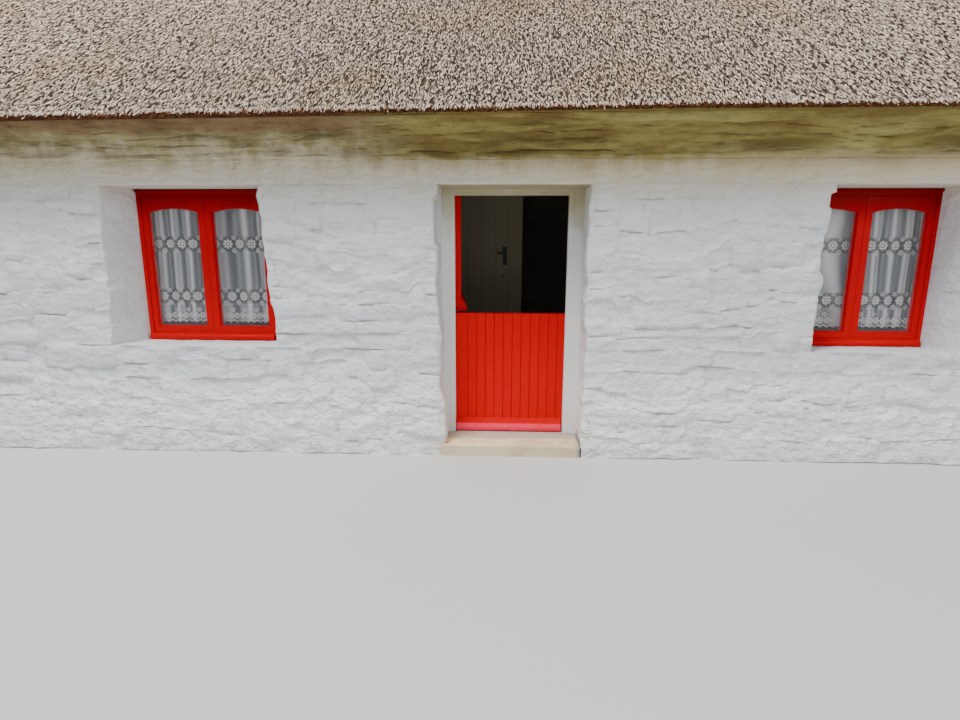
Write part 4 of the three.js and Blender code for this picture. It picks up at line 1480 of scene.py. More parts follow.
        # proud: how far the stones stand out, which sets their painted shade and highlight.
        index = skin.grid(points, joint=np.concatenate([below, joint * unit(s / 0.01)]),
                          rough=np.concatenate([below, 1 + 0 * s]),
                          over=np.concatenate([below + door_soffit_shade, 0 * s]),
                          proud=np.concatenate([below, unit(0.5 + 0.7 * folds + 5 * relief)]))
        across_to(skin, index[-1], points[-1], (-END_X, END_X), -INNER_Y, up=True)
        for column in (-1, 0):
            edge, share = points[len(ys):, column], np.linspace(0, 1, 14)[None, :, None]
            inner = xyz(edge[:, 0], -INNER_Y, edge[:, 2])
            skin.grid(edge[:, None] * (1 - share) + inner[:, None] * share, flip=column == 0, rough=0.0)
        skin.flat((END_X, -INNER_Y, LINTEL_Z), (-2 * END_X, 0, 0), (0, 0, WALL_TOP - LINTEL_Z), 60, 3)
        skin.build("front_wall_head_render", self.finishes.outside, Slot.STONE, ("front_wall_head",))


@dataclass
class OtherWalls:
    """The back wall and the gables, guessed from the front: same rubble, same windows at the back."""

    finishes: Finishes
    step: float = 0.044
    seal: float = 0.02

    def build(self) -> None:
        """Builds the back wall and both gables."""
        wall = Wall(Rubble(31, FRONT_BEDS + (2.0, 2.09, 2.2, WALL_TOP), (0, 6, 16, 20), CALM))
        corners = [(-END_X, -INNER_Y), (-END_X, -FACE_Y), (END_X, -FACE_Y), (END_X, -INNER_Y)]
        stretch = Stretch.along(corners, [self.step] * 3, [1, 1, 1], 0.03, (1, 2))
        stretch.mark = stretch.mark - INNER_Y + 4.5
        openings = tuple(Opening(x, (0.557, 0.557), (0.557, 0.557), closed=True, radius=0.03)
                         for x in (-WINDOW_X, WINDOW_X))
        skin = wall.skin(stretch, (-END_X, END_X), self.seal, openings, lid=True)
        skin.marks["rough"] = [unit((block[:, 2] - CORBEL_Z[0]) / 0.02) for block in skin.points]
        block = skin.points[0]
        leans = (block[:, 1] < -2.5) & (block[:, 2] > CORBEL_Z[0])
        block[leans, 1] -= np.interp(block[leans, 2], CORBEL_Z, CORBEL_OUT)
        block[leans, 2] = np.minimum(block[leans, 2], 2.299 - 0.04 * (-FACE_Y - block[leans, 1]).clip(0))
        wall.room_side(skin, (-END_X, END_X), openings)
        skin.move(lambda points: turned(points, 2))
        skin.build("back_wall_rubble", self.finishes.outside, Slot.STONE, ("back_wall",))
        self._gable("gable_wall_left", 3)
        self._gable("gable_wall_right", 1)

    def _gable(self, node: str, quarters: int) -> None:
        """One gable: a square part up to the wall plate and, above, a part that narrows with the slope.

        Args:
            node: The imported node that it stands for.
            quarters: Quarter turns from facing -Y.
        """
        seed, beds = 41 + quarters, FRONT_BEDS[:-2] + (1.83, 1.97, 2.12, WALL_TOP)
        stretch = Stretch.along([(-INNER_Y, -END_X), (INNER_Y, -END_X)], [self.step], [1.0])
        wall = Wall(Rubble(seed, beds, (0, len(beds) - 1)), END_X)
        skin = wall.skin(stretch, (-INNER_Y, INNER_Y), self.seal)
        high = Rubble(seed + 7, tuple(np.linspace(WALL_TOP, STACK_FOOT, 15)), (0, 14))
        x, share = np.linspace(-PLATE_Y, PLATE_Y, 110), np.linspace(-1, 1, 96)
        surface = high.surface(x)
        across = share * (INNER_APEX - surface[0].mean(axis=1, keepdims=True)) / SLOPE
        z, out, gaps = (np.stack([np.interp(at, x, line) for at, line in zip(across, rows)])
                        for rows in surface)
        fade = unit((z - WALL_TOP) / self.seal) * unit((STACK_FOOT - z) / self.seal)
        out = out * fade + 0.003 * unit((WALL_TOP + self.seal - z) / self.seal)
        outer = xyz(share * (INNER_APEX - z) / SLOPE, -END_X - out, z)
        skin.grid(outer, joint=gaps * fade)
        for column in (0, -1):
            edge = outer[:, column]
            skin.grid(np.stack([edge, xyz(edge[:, 0], -INNER_X, edge[:, 2])], axis=1), flip=column == 0)
        skin.flat((INNER_Y, -INNER_X, 0), (-2 * INNER_Y, 0, 0), (0, 0, WALL_TOP), 20, 10)
        rise = np.linspace(0, 1, 8)[:, None]
        width = (PLATE_Y + (STACK_HALF - PLATE_Y) * rise) * np.linspace(1, -1, 12)
        skin.grid(xyz(width, -INNER_X, WALL_TOP + (STACK_FOOT - WALL_TOP) * rise))
        skin.move(lambda points: turned(points, quarters))
        skin.build(f"{node}_rubble", self.finishes.outside, Slot.STONE, (node,))


def rounded_ring(half_x: float, half_y: float, radius: float, sides: int) -> tuple[np.ndarray, np.ndarray]:
    """A rectangle with round corners of three points each, walked anticlockwise from above.

    Args:
        half_x: Half the size along X.
        half_y: Half the size along Y.
        radius: Radius of the corners.
        sides: Points on each side.

    Returns:
        Points of shape (n, 2) and the way each one faces.
    """
    points, facing = [], []
    turn = np.linspace(0, np.pi / 2, 5)[1:-1, None]
    for quarter in range(4):
        a = quarter * np.pi / 2 - np.pi / 2
        out = np.array([np.cos(a), np.sin(a)])
        way = np.array([-out[1], out[0]])
        reach, run = (half_x, half_y - radius) if quarter % 2 else (half_y, half_x - radius)
        along = np.linspace(-run, run, sides)[:, None]
        normal = np.cos(turn) * out + np.sin(turn) * way
        points += [out * reach + way * along, out * (reach - radius) + way * run + radius * normal]
        facing += [np.repeat(out[None], sides, axis=0), normal]
    return np.concatenate(points), np.concatenate(facing)


@dataclass
class Chimneys:
    """The stack on each gable: limewashed rubble, a coping and an open flue."""

    finishes: Finishes
    top: float = 5.95
    coping_foot: float = 5.69
    coping_top: float = 5.83
    coping_out: float = 0.05
    flue: float = 0.12
    flue_depth: float = 0.45

    def build(self) -> None:
        """Builds both stacks: rings go up the shaft, round the coping, over the top and down the flue."""
        ring, facing = rounded_ring(0.3, STACK_HALF, 0.03, 22)
        flue_ring, _ = rounded_ring(self.flue, self.flue, 0.02, 22)
        foot, crown, top, out = self.coping_foot, self.coping_top, self.top, self.coping_out
        profile = [(0.0, z, 1.0) for z in spaced(STACK_FOOT, foot, 0.03)] + [
            (out - 0.008, foot + 0.001, 0.2), (out, foot + 0.008, 0.3), (out, foot + 0.05, 0.6),
            (out, crown - 0.05, 0.6), (out, crown - 0.01, 0.3), (out - 0.012, crown, 0.2),
            (0.006, crown + 0.006, 0.3), (0.0, crown + 0.03, 0.8), (0.0, top - 0.03, 0.8),
            (-0.004, top - 0.010, 0.2), (-0.015, top - 0.002, 0.0)]
        proud, z, share = upright(profile)
        depths = np.array([[top - 0.002], [top - 0.02], [top - self.flue_depth]])
        along = walked(ring)
        for side, name in ((-1, "left"), (1, "right")):
            noise = Lattice(60 + side)
            relief = 0.006 * noise.at(along * 3, z * 5) + 0.004 * noise.layered(along * 9, z * 14, 2)
            stand = proud + (relief - 0.006) * share
            x, y = (ring[:, i] + facing[:, i] * stand for i in range(2))
            skin = Skin()
            skin.grid(np.concatenate([xyz(x, y, z), xyz(*flue_ring.T, depths),
                                      xyz(0 * flue_ring[:, 0], 0.0, depths[-1:])]), wrap=True)
            skin.shift(side * 0.5 * (END_X + INNER_X), 0.0, 0.0)
            skin.build(f"chimney_{name}_stack", self.finishes.stack, Slot.STONE, (f"chimney_{name}",))


@dataclass
class Reeds:
    """Cut reed ends: slim three-sided stalks, pointed where buried, that lift a little out of the slope."""

    seed: int
    length: tuple[float, float] = (0.055, 0.100)
    radius: tuple[float, float] = (0.0030, 0.0048)
    yaw: float = 12.0
    lift: tuple[float, float] = (1.0, 13.0)
    rust: float = 0.0

    def add(self, skin: Skin, roots: np.ndarray, down: np.ndarray = DOWN, out: np.ndarray = OUT,
            bare: Numbers = 0.0) -> None:
        """Adds one stalk at each root.

        It lies down the slope, turned by a normal yaw and lifted by an even one, and three long triangles
        widen from the root to a slanting three-cornered end.

        Args:
            skin: Where they go.
            roots: Points of shape (n, 3).
            down: Direction in which a straight stalk lies.
            out: Direction out of the thatch.
            bare: 1 where a stalk is pale from its root.
        """
        rng = np.random.default_rng(self.seed)
        n = len(roots)
        yaw = np.radians(rng.normal(0.0, self.yaw, n))[:, None]
        lift = np.radians(rng.uniform(*self.lift, n))[:, None]
        flat = down * np.cos(yaw) - np.cross(down, out) * np.sin(yaw)
        way = flat * np.cos(lift) + out * np.sin(lift)
        u = np.cross(way, out)
        u /= np.linalg.norm(u, axis=1, keepdims=True)
        v = np.cross(way, u)
        length, radius = rng.uniform(*self.length, n), rng.uniform(*self.radius, n)
        spin = (rng.uniform(0, 2 * np.pi, n)[:, None] + np.arange(3) * 2 * np.pi / 3)[..., None]
        ring = u[:, None] * np.cos(spin) + v[:, None] * np.sin(spin)
        slant = 0.004 * rng.uniform(-1, 1, (n, 3, 1)) * way[:, None]
        tip = roots[:, None] + ring * radius[:, None, None] + (way * length[:, None])[:, None] + slant
        tone = rng.uniform(0, 1, n)[:, None]
        root = skin.add(roots[:, None], tone=tone, tip=bare, rust=self.rust)
        end = skin.add(tip, tone=tone, tip=1.0, rust=self.rust)
        skin.tris += [end] + [np.column_stack([root[:, 0], end[:, (k + 1) % 3], end[:, k]]) for k in range(3)]


@dataclass
class Thatch:
    """Reed thatch: a lumpy bed under each slope, cut ends over it, and a ridge held by hazel rods."""

    finishes: Finishes
    bury: float = 0.016
    grid: float = 0.055
    lip: float = -2.885
    lip_z: float = 2.314
    coarse_from: float = -1.82
    coarse_to: float = -1.50
    reach: float = VERGE_X - 0.008
    crossing: float = 0.27
    cap: Pairs = ((0.0, 0.022), (0.07, 0.046), (0.14, 0.066), (0.22, 0.072), (0.30, 0.077), (0.38, 0.078),
                  (0.45, 0.080), (0.486, 0.066), (0.492, 0.030), (0.482, 0.0))

    def build(self) -> None:
        """Builds both slopes, the ridge and the loose stalks."""
        foot, ridge = -EAVE_Y + 0.012, -0.475
        long = (0.08, 0.13)
        self._bed("thatch_front", 0)
        self._bed("thatch_back", 2)
        for k, side in enumerate(("left", "right")):
            self._stalks(f"thatch_front_stalks_{side}", 0, (foot, self.coarse_to), 42500, Reeds(81 + 10 * k),
                         (k - 1, k), (self.coarse_to, self.coarse_from))
        self._stalks("thatch_front_stalks_high", 0, (self.coarse_from, ridge), 22800,
                     Reeds(82, long, (0.0058, 0.0090)), thin=(self.coarse_from, self.coarse_to))
        self._stalks("thatch_back_stalks", 2, (foot, ridge), 27500, Reeds(83, long, (0.0068, 0.0100)))
        self._ridge()

    def _surface(self, x: np.ndarray, y: np.ndarray, quarters: int) -> np.ndarray:
        """Height of the bed's top: the slope less the buried depth, with soft hollows.

        Args:
            x: Places along the slope.
            y: Places up the slope.
            quarters: 0 for the front slope, 2 for the back.

        Returns:
            Heights.
        """
        noise = Lattice(71 + quarters // 2)
        hollow = 0.008 * noise.at(x * 0.7, y * 0.9) + 0.006 * noise.at(x * 2.3, y * 2.7)
        hollow = hollow + 0.004 * noise.at(x * 7, y * 8)
        return OUTER_APEX - np.abs(y) * SLOPE - self.bury + hollow

    def _bed(self, node: str, quarters: int) -> None:
        """One slope: rows run from the inner apex down the underside, round the eave and up the top.

        Args:
            node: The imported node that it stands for.
            quarters: 0 for the front slope, 2 for the back.
        """
        inner, edge, foot = INNER_X - GAP, -STACK_HALF - GAP, 2.2985
        x = joined(spaced(-VERGE_X, -inner, self.grid), spaced(-inner, inner, self.grid),
                   spaced(inner, VERGE_X, self.grid))
        under_y = np.concatenate([[-GAP, edge], spaced(edge, -PLATE_Y, 0.25)[1:], [-2.6, -2.65]])
        under_z = np.where(under_y >= -PLATE_Y, INNER_APEX + GAP + under_y * SLOPE, foot)
        eave_y = [-2.72, -2.79, -2.825, -2.85, -2.872, self.lip]
        eave_z = [foot, foot, foot, 2.300, 2.305, self.lip_z]
        top_y = joined(spaced(self.lip, edge, self.grid), spaced(edge, -GAP, 0.09))[1:]
        y = np.concatenate([under_y, eave_y, top_y])[:, None]
        noise = Lattice(80 + quarters // 2)
        turn_row, top_row = len(under_y), len(under_y) + len(eave_y)
        row = np.arange(len(y))
        top, eave = row >= top_row, (row >= turn_row - 1) & (row < top_row)
        z = np.concatenate([under_z, eave_z, np.zeros(len(top_y))])[:, None] + 0 * x
        z[top] = self._surface(x, y[top], quarters)
        z[eave] += 0.005 * noise.layered(x * 9, y[eave] * 9, 3) + 0.004 * noise.at(x * 1.3, 0)
        yy = y + 0 * x
        yy[eave] += 0.009 * noise.layered(x * 12 + 5, y[eave] * 12, 3)
        beyond = yy[top] - self.lip
        lift = unit(beyond / 0.08)
        z[top] = z[top] * lift + (self.lip_z + beyond * SLOPE) * (1 - lift)
        if not quarters:
            z += droop(x, yy)
        rust = np.where(top, 0.0, 1.0)[:, None] * np.where(yy < -2.43, 1.0, 0.55)
        lime = np.where(top, 0.0, unit((y[:, 0] + 2.868) / 0.02))[:, None]
        coarse = 1.0 if quarters else unit((yy - self.coarse_from) / 0.32)
        beside = (np.abs(0.5 * (x[1:] + x[:-1])) > INNER_X) & (0.5 * (y[1:] + y[:-1]) > edge)
        skin, points = Skin(), xyz(x, yy, z)
        skin.sheet(skin.add(points, rust=rust, lime=lime, cap=0.4 * coarse * top[:, None]), ~beside)
        self._verges(skin, points, turn_row, y[:, 0])
        low, high = (start + int(np.argmin(np.abs(line - edge)))
                     for start, line in ((0, under_y), (top_row, top_y)))
        share = np.linspace(0, 1, 4)[:, None, None]
        for columns in (x <= -INNER_X + 0.001, x >= INNER_X - 0.001):
            skin.grid(points[low, columns] * (1 - share) + points[high, columns] * share, flip=True,
                      rust=0.2, cap=0.45)
        skin.move(lambda block: turned(block, quarters))
        skin.build(f"{node}_bed", self.finishes.bed, Slot.THATCH, (node,))

    def _verges(self, skin: Skin, points: np.ndarray, turn_row: int, y: np.ndarray) -> None:
        """Closes both ends between the underside and the top, which are matched by their places up the slope.

        Args:
            skin: Where they go.
            points: The bed's points.
            turn_row: First row of the eave.
            y: The rows' places up the slope.
        """
        row = np.arange(len(y))
        under, over = row[(row < turn_row) & (y <= -0.45)], row[(row >= turn_row) & (y <= -0.45)][::-1]
        over = over[np.unique(np.rint(np.linspace(0, len(over) - 1, 60)).astype(int))]
        steps = np.arange(len(under))
        match = np.interp(points[over, 0, 1][::-1], points[under, 0, 1][::-1], steps[::-1])[::-1]
        share = np.linspace(0, 1, 5)[:, None, None]
        for column, flip in ((0, False), (-1, True)):
            high = points[over, column]
            y_low, z_low = (np.interp(match, steps, points[under, column, i]) for i in (1, 2))
            skin.grid(xyz(high[:, 0], y_low, z_low) * (1 - share) + high * share, flip=flip,
                      rust=np.array([[0.9], [0.35], [0.1], [0.0], [0.0]]),
                      cap=np.array([[0.0], [0.2], [0.45], [0.55], [0.6]]))

    def _stalks(self, name: str, quarters: int, band: tuple[float, float], count: int, reeds: Reeds,
                part: tuple[int, int] = (-1, 1), thin: tuple[float, float] | None = None) -> None:
        """Strews stalks over a band of a slope, one at a random place in each cell of an even grid.

        Beside the stacks they are held below the stack's foot; a fringe of them stands at the eave.

        Args:
            name: Name of the piece.
            quarters: 0 for the front slope, 2 for the back.
            band: Lowest and highest y of the stalks' middles.
            count: Stalks before the thinning.
            reeds: The stalks' sizes and seed.
            part: Share of the slope's length, from -1 to 1.
            thin: y where no stalk is kept and y where all are.
        """
        rng = np.random.default_rng(reeds.seed + 100)
        wide, tall = (part[1] - part[0]) * self.reach, band[1] - band[0]
        columns = int(round(math.sqrt(count * wide / tall * math.cos(math.atan(SLOPE)))))
        rows = count // columns
        column, row = np.meshgrid(np.arange(columns), np.arange(rows))
        x = ((column + rng.uniform(0, 1, column.shape)) / columns * wide + part[0] * self.reach).reshape(-1)
        y = (band[0] + (row + rng.uniform(0, 1, row.shape)) / rows * tall).reshape(-1)
        if thin:
            kept = rng.uniform(0, 1, len(x)) < (y - thin[0]) / (thin[1] - thin[0])
            x, y = x[kept], y[kept]
        beside = np.abs(x) > INNER_X - 0.03
        y = np.where(beside, np.minimum(y, -STACK_HALF - 0.055), y)
        z = self._surface(x, y, quarters) + (0 if quarters else droop(x, y))
        roots = xyz(x, y, z) - DOWN * 0.07 - OUT * rng.uniform(-0.002, 0.011, (len(x), 1))
        skin = Skin()
        # Stalks at the top edge beside the stacks skip the painted shade at their roots.
        reeds.add(skin, roots, bare=(beside & (y > -STACK_HALF - 0.12))[:, None])
        if band[0] < -2.8:
            short = Reeds(reeds.seed + 5, (0.04, 0.06), reeds.radius, 10.0, (-10.0, 2.0))
            self._fringe(skin, quarters, short, part)
        for block in skin.points:
            block[:, 1] = np.maximum(block[:, 1], -EAVE_Y + 0.001 * rng.uniform(0, 4, len(block)))
            block[:, 0] = np.clip(block[:, 0], -VERGE_X, VERGE_X)
        skin.move(lambda block: turned(block, quarters))
        skin.build(name, self.finishes.stalks, Slot.THATCH, smooth=None)

    def _fringe(self, skin: Skin, quarters: int, reeds: Reeds, part: tuple[int, int]) -> None:
        """Loose rows of stalks, half as many at the back, whose ends make the ragged lip of the eave.

        Args:
            skin: Where they go.
            quarters: 0 for the front slope, 2 for the back.
            reeds: The stalks' sizes and seed.
            part: Share of the slope's length, from -1 to 1.
        """
        rng = np.random.default_rng(reeds.seed)
        over, under = ((450, 750) if quarters else (900, 1500))
        x = rng.uniform(*part, over * (part[1] - part[0])) * (VERGE_X - 0.01)
        y = -2.862 - 0.012 * rng.uniform(0, 1, len(x))
        z = OUTER_APEX + y * SLOPE - rng.uniform(0.002, 0.016, len(x)) + (0 if quarters else droop(x, y))
        reeds.add(skin, xyz(x, y, z) - DOWN * 0.015)
        x = rng.uniform(*part, under * (part[1] - part[0])) * (VERGE_X - 0.01)
        share = rng.uniform(0, 1, len(x))
        y = -2.855 - 0.022 * share
        z = 2.303 + 0.013 * share + (0 if quarters else droop(x, y))
        under_reeds = Reeds(reeds.seed + 1, (0.016, 0.034), (0.003, 0.005), 25.0, (-4.0, 30.0), 1.0)
        under_reeds.add(skin, xyz(x, y, z), np.array([0.0, -0.94, -0.34]), np.array([0.0, -0.34, 0.94]))

    def _ridge(self) -> None:
        """The ridge cap over both slopes, with long rods and crossing ones pinned over it."""
        noise, inner = Lattice(91), INNER_X - GAP
        x, (away, rise) = spaced(-inner, inner, 0.05), np.array(self.cap).T
        y = np.concatenate([-away[::-1], away[1:]])[:, None]
        lift = np.concatenate([rise[::-1], rise[1:]])[:, None]
        slope = OUTER_APEX - np.abs(y) * SLOPE
        wave = 0.007 * noise.layered(x * 5, y * 5, 3) + 0.006 * noise.at(x * 0.9, y)
        cap, skin, rods = xyz(x, y + 0.3 * wave * np.sign(y), slope + lift + wave - 0.006), Skin(), Skin()
        skin.grid(cap, rust=0.0, cap=1.0)
        for column, flip in ((0, True), (-1, False)):
            end = cap[:, column]
            foot = xyz(end[:, 0], end[:, 1] * 0.96, OUTER_APEX - np.abs(end[:, 1]) * SLOPE - 0.03)
            skin.grid(np.stack([foot, end]), flip=flip, cap=1.0)
        skin.build("thatch_ridge_cap", self.finishes.bed, Slot.THATCH, ("thatch_ridge",))

        def rod(u: np.ndarray, v: Numbers, flank: int, radius: float, tone: float) -> None:
            """Lays a rod just above the cap.

            Args:
                u: Places along the ridge.
                v: Distances from its middle line.
                flank: -1 on the front slope, 1 on the back.
                radius: The rod's radius.
                tone: How pale it is, from 0 to 1.
            """
            bump = 0.007 * noise.layered(u * 5, flank * v * 5, 3) + 0.006 * noise.at(u * 0.9, flank * v)
            height = OUTER_APEX - v * SLOPE + np.interp(v, away, rise) + bump - 0.002
            rods.tube(xyz(u, flank * v, height), radius, 5, tone=tone, tip=1.0)

        t, (high, low) = self.crossing * np.linspace(0, 1, 6), (0.14, 0.14 + self.crossing)
        for flank in (-1, 1):
            for v in (high, low):
                rod(np.linspace(-INNER_X + 0.03, INNER_X - 0.03, 60), v, flank, 0.007, 0.35)
            for start in np.arange(-4.2, 4.0, self.crossing):
                rod(start + t, high + t, flank, 0.0055, 0.2)
                rod(start + t, low - t, flank, 0.0055, 0.3)
        rods.build("thatch_ridge_rods", self.finishes.stalks, Slot.THATCH)


def ring_rows(inner: np.ndarray, outer: np.ndarray, profile: list[Triple]) -> np.ndarray:
    """Rings inner (1 - share) + outer share, each shifted towards the middle of the outer outline.

    Args:
        inner: Inner outline, (n, 2) as x and z, walked anticlockwise as seen from the front.
        outer: Outer outline with as many points.
        profile: For each ring its share of the way out, its shift in metres, and its y.

    Returns:
        Points of shape (rings, n, 3).
    """
    share, inset, y = (column[..., None] for column in upright(profile))
    flat = inner * (1 - share) + outer * share
    flat = flat + np.sign(outer.mean(axis=0) - flat) * inset
    return xyz(flat[..., 0], y[..., 0], flat[..., 1])


def rectangle(half: float, foot: float, top: float) -> np.ndarray:
    """Corners of an upright rectangle as x and z, anticlockwise as seen from the front."""
    return np.array([(-half, foot), (half, foot), (half, top), (-half, top)])


@dataclass
class Window:
    """A two-light casement window in its frame, with sill nosing, drip moulding, panes and a lace curtain."""

    finishes: Finishes
    side: str
    middle: float
    lap: float = 0.003
    top: float = 1.1077
    light_half: float = 0.469
    light_foot: float = 0.055
    light_top: float = 1.0577
    wear: float = 0.0018
    cloth_foot: float = 0.118
    cloth_top: float = 1.09

    def frame(self) -> Skin:
        """The outer frame, rings between two rectangles with worn edges, and its nosing and drip.

        Returns:
            The frame.
        """
        half, worn, deep, under = WINDOW_HALF, self.wear, FRAME_DEEP, self.top - 0.002
        skin = Skin()
        inner = rectangle(self.light_half, self.light_foot, self.light_top)
        profile = [(1, 0, deep), (1, 0, worn), (1, worn, 0), (0, -worn, 0), (0, 0, worn), (0, 0, deep),
                   (1, 0, deep)]
        skin.grid(ring_rows(inner, rectangle(half, GAP, self.top), profile), wrap=True, groove=0.0)
        left = self.lap - half
        self._moulding(skin, left + 0.012, half - 0.015, (
            (0.0, 0.048), (-0.024, 0.043), (-0.033, 0.036), (-0.035, 0.028), (-0.034, 0.010), (-0.030, 0.002),
            (0.0, 0.002)))
        self._moulding(skin, left, half - 0.003, (
            (0.0, under), (-0.014, under - 0.003), (-0.018, under - 0.008), (-0.018, under - 0.016),
            (-0.013, under - 0.020), (-0.006, under - 0.022), (-0.004, under - 0.0275),
            (0.0, under - 0.0275)))
        return skin

    def _moulding(self, skin: Skin, x0: float, x1: float, section: Pairs) -> None:
        """Carries a section along the window, with worn ends.

        Args:
            skin: Where it goes.
            x0: Left end.
            x1: Right end.
            section: y and z of its points from the top down.
        """
        worn = 0.0015
        y, z = upright(section[::-1])
        x, shrink = np.array([x0, x0 + worn, x1 - worn, x1]), np.array([worn, 0, 0, worn])
        index = skin.grid(xyz(x, y + shrink * (y < -0.001), z), groove=0.0)
        skin.fan(index[:, 0], False)
        skin.fan(index[:, -1], True)

    def casement(self, mirrored: bool) -> Skin:
        """One light, square outside; the arch over the glass is a parabola and the glazing edge bevelled.

        Args:
            mirrored: Whether it is the left one.

        Returns:
            The light.
        """
        x0, x1, foot, spring, crown, worn = 0.057, 0.423, 0.105, 0.945, 0.972, self.wear
        play = 0.0005
        left, right, bottom, top = play, self.light_half - play, self.light_foot + play, self.light_top - play
        t = np.linspace(0, 1, 9)
        arch = np.column_stack([x1 + (x0 - x1) * t, spring + 4 * (crown - spring) * t * (1 - t)])
        above = np.column_stack([arch[:, 0], np.full(9, top)])
        above[[0, -1], 0] = right, left
        inner = np.concatenate([[(x0, foot), (x1, foot), (x1, spring)], arch, [(x0, spring)]])
        outer = np.concatenate([[(left, bottom), (right, bottom), (right, spring)], above, [(left, spring)]])
        points = ring_rows(inner, outer, [
            (1, 0, 0.057), (1, 0, 0.012 + worn), (1, worn, 0.012), (0.16, 0, 0.012), (0.13, 0, 0.0145),
            (0, 0, 0.024), (0, 0, 0.057), (1, 0, 0.057)])
        if mirrored:
            points = points[:, ::-1] * np.array([-1.0, 1.0, 1.0])
        skin = Skin()
        # Painted shade along the glazing bevel.
        skin.grid(points, wrap=True, groove=0.3 * (np.arange(8) == 4)[:, None])
        return skin

    def build(self) -> None:
        """Builds the frame, both casements and the curtain; the panes stay as packed."""
        for skin, kind, node in ((self.frame(), "frame_moulded", "frame"),
                                 (self.casement(True), "light_left", "casement_left"),
                                 (self.casement(False), "light_right", "casement_right")):
            skin.shift(self.middle, FRAME_Y, SILL_Z)
            name = f"{self.side}_window_"
            skin.build(name + kind, self.finishes.window_red, Slot.RED, (name + node,))
        self._curtain()

    def _curtain(self) -> None:
        """The lace: gathered into upright folds that deepen downwards, with a scalloped foot.

        A fold is a sine of the distance along the rod, bent by noise. The cloth's own coordinates are the
        distance along its folds and the height above its foot.
        """
        noise = Lattice(131 + int(self.middle > 0))
        u, v = np.linspace(-0.462, 0.462, 281), np.linspace(0, 1, 34)[:, None]
        phase = 2 * np.pi * (u * 9.0 + 1.0 * noise.at(u * 3.0, 0) + 0.25 * noise.at(u * 2.0, v * 1.5))
        deep = 0.0045 + 0.0045 * (1 - v)
        y = 0.1013 + deep * np.sin(phase) + 0.0014 * np.sin(2.3 * phase + 1) * (1 - v)
        arc = walked(np.column_stack([u, y[0]]))
        scallop = 0.015 * np.abs(np.cos(np.pi * arc / 0.047))
        rise = scallop * (1 - v) ** 6 + (self.cloth_top - self.cloth_foot) * v
        pleat = 0.5 - 0.5 * np.sin(phase + 0.6 * noise.at(u * 14, v * 3))
        crease = 0.5 - 0.5 * np.sin(2.7 * phase + 1.5 * noise.at(u * 9, v * 2))
        skin = Skin()
        skin.grid(xyz(u, y, self.cloth_foot + rise), hem=scallop, fold=0.62 * pleat + 0.38 * crease)
        skin.shift(self.middle, FRAME_Y, SILL_Z)
        piece = skin.build(f"{self.side}_lace_curtain", self.finishes.lace, Slot.LACE,
                           (f"{self.side}_curtain",), smooth=180.0)
        flat = np.stack(np.broadcast_arrays(arc, rise), axis=-1).reshape(-1, 2)
        corners = np.empty(len(piece.data.loops), np.int32)
        piece.data.loops.foreach_get("vertex_index", corners)
        cloth = piece.data.uv_layers.new(name="cloth")
        cloth.data.foreach_set("uv", flat[corners].astype(np.float32).reshape(-1))


@dataclass
class BackWindow(Window):
    """A back window: frame and lights in one piece, with one sheet of glass behind."""

    def build(self) -> None:
        """Builds the frame with both lights; the glass stays as packed."""
        skin = self.frame()
        skin.join(self.casement(True))
        skin.join(self.casement(False))
        skin.move(lambda points: turned(points, 2))
        skin.shift(self.middle, -FRAME_Y, SILL_Z)
        skin.build(f"back_window_{self.side}", self.finishes.window_red, Slot.RED,
                   (f"back_window_frame_{self.side}",))


@dataclass
class Boarding:
    """Upright boards with V-shaped grooves between them, framed behind by rails and, if wanted, stiles."""

    widths: tuple[float, ...]
    x0: float
    front: float
    back: float
    rail: float
    depth: float
    groove: float = 0.0032
    worn: float = 0.0015
    seed: int = 5
    stiles: bool = True

    def add(self, skin: Skin, z0: float, z1: float, rails: tuple[float, ...]) -> None:
        """Carries one section, with a V at each joint, up the boards, and adds the rails as boxes.

        Args:
            skin: Where they go.
            z0: Foot of the boards.
            z1: Top of the boards.
            rails: Heights of the feet of the rails.
        """
        g, edge, front, x0 = self.groove, self.worn, self.front, self.x0
        joints = x0 + np.cumsum(self.widths)
        right = joints[-1]
        shift = np.random.default_rng(self.seed).uniform(0.0, 0.0009, len(self.widths))
        plan = [(x0, front + edge, 0), (x0 + edge, front, 0)]
        # A 1 in the third column marks a joint's V, which takes painted shade.
        for joint, near_side, far_side in zip(joints[:-1], shift[:-1], shift[1:]):
            plan += [(joint - g, front + near_side, 0), (joint - 0.4 * g, front + 0.9 * g, 1),
                     (joint + 0.4 * g, front + 0.9 * g, 1), (joint + g, front + far_side, 0)]
        plan += [(right - edge, front, 0), (right, front + edge, 0), (right, self.back, 0),
                 (x0, self.back, 0), (x0, front + edge, 0)]
        x, y, dark = np.array(plan, float).T
        z = np.concatenate([[z0, z0 + edge], np.linspace(z0, z1, 9)[1:-1], [z1 - edge, z1]])[:, None]
        tuck = np.where((z < z0 + 0.5 * edge) | (z > z1 - 0.5 * edge), edge, 0.0)
        ahead = y < self.back - 1e-6
        index = skin.grid(xyz(x, y + tuck * ahead, z), groove=dark * ahead)
        for row, flip in ((0, True), (-1, False)):
            skin.fan(np.roll(index[row, :-1], 1), flip)
        y1, inset = self.back + self.depth, self.rail if self.stiles else 0.03
        if self.stiles:
            skin.box((x0, self.back, z0), (x0 + self.rail, y1, z1), groove=0.0)
            skin.box((right - self.rail, self.back, z0), (right, y1, z1), groove=0.0)
        for foot in rails:
            skin.box((x0 + inset, self.back, foot), (right - inset, y1, foot + self.rail), groove=0.0)


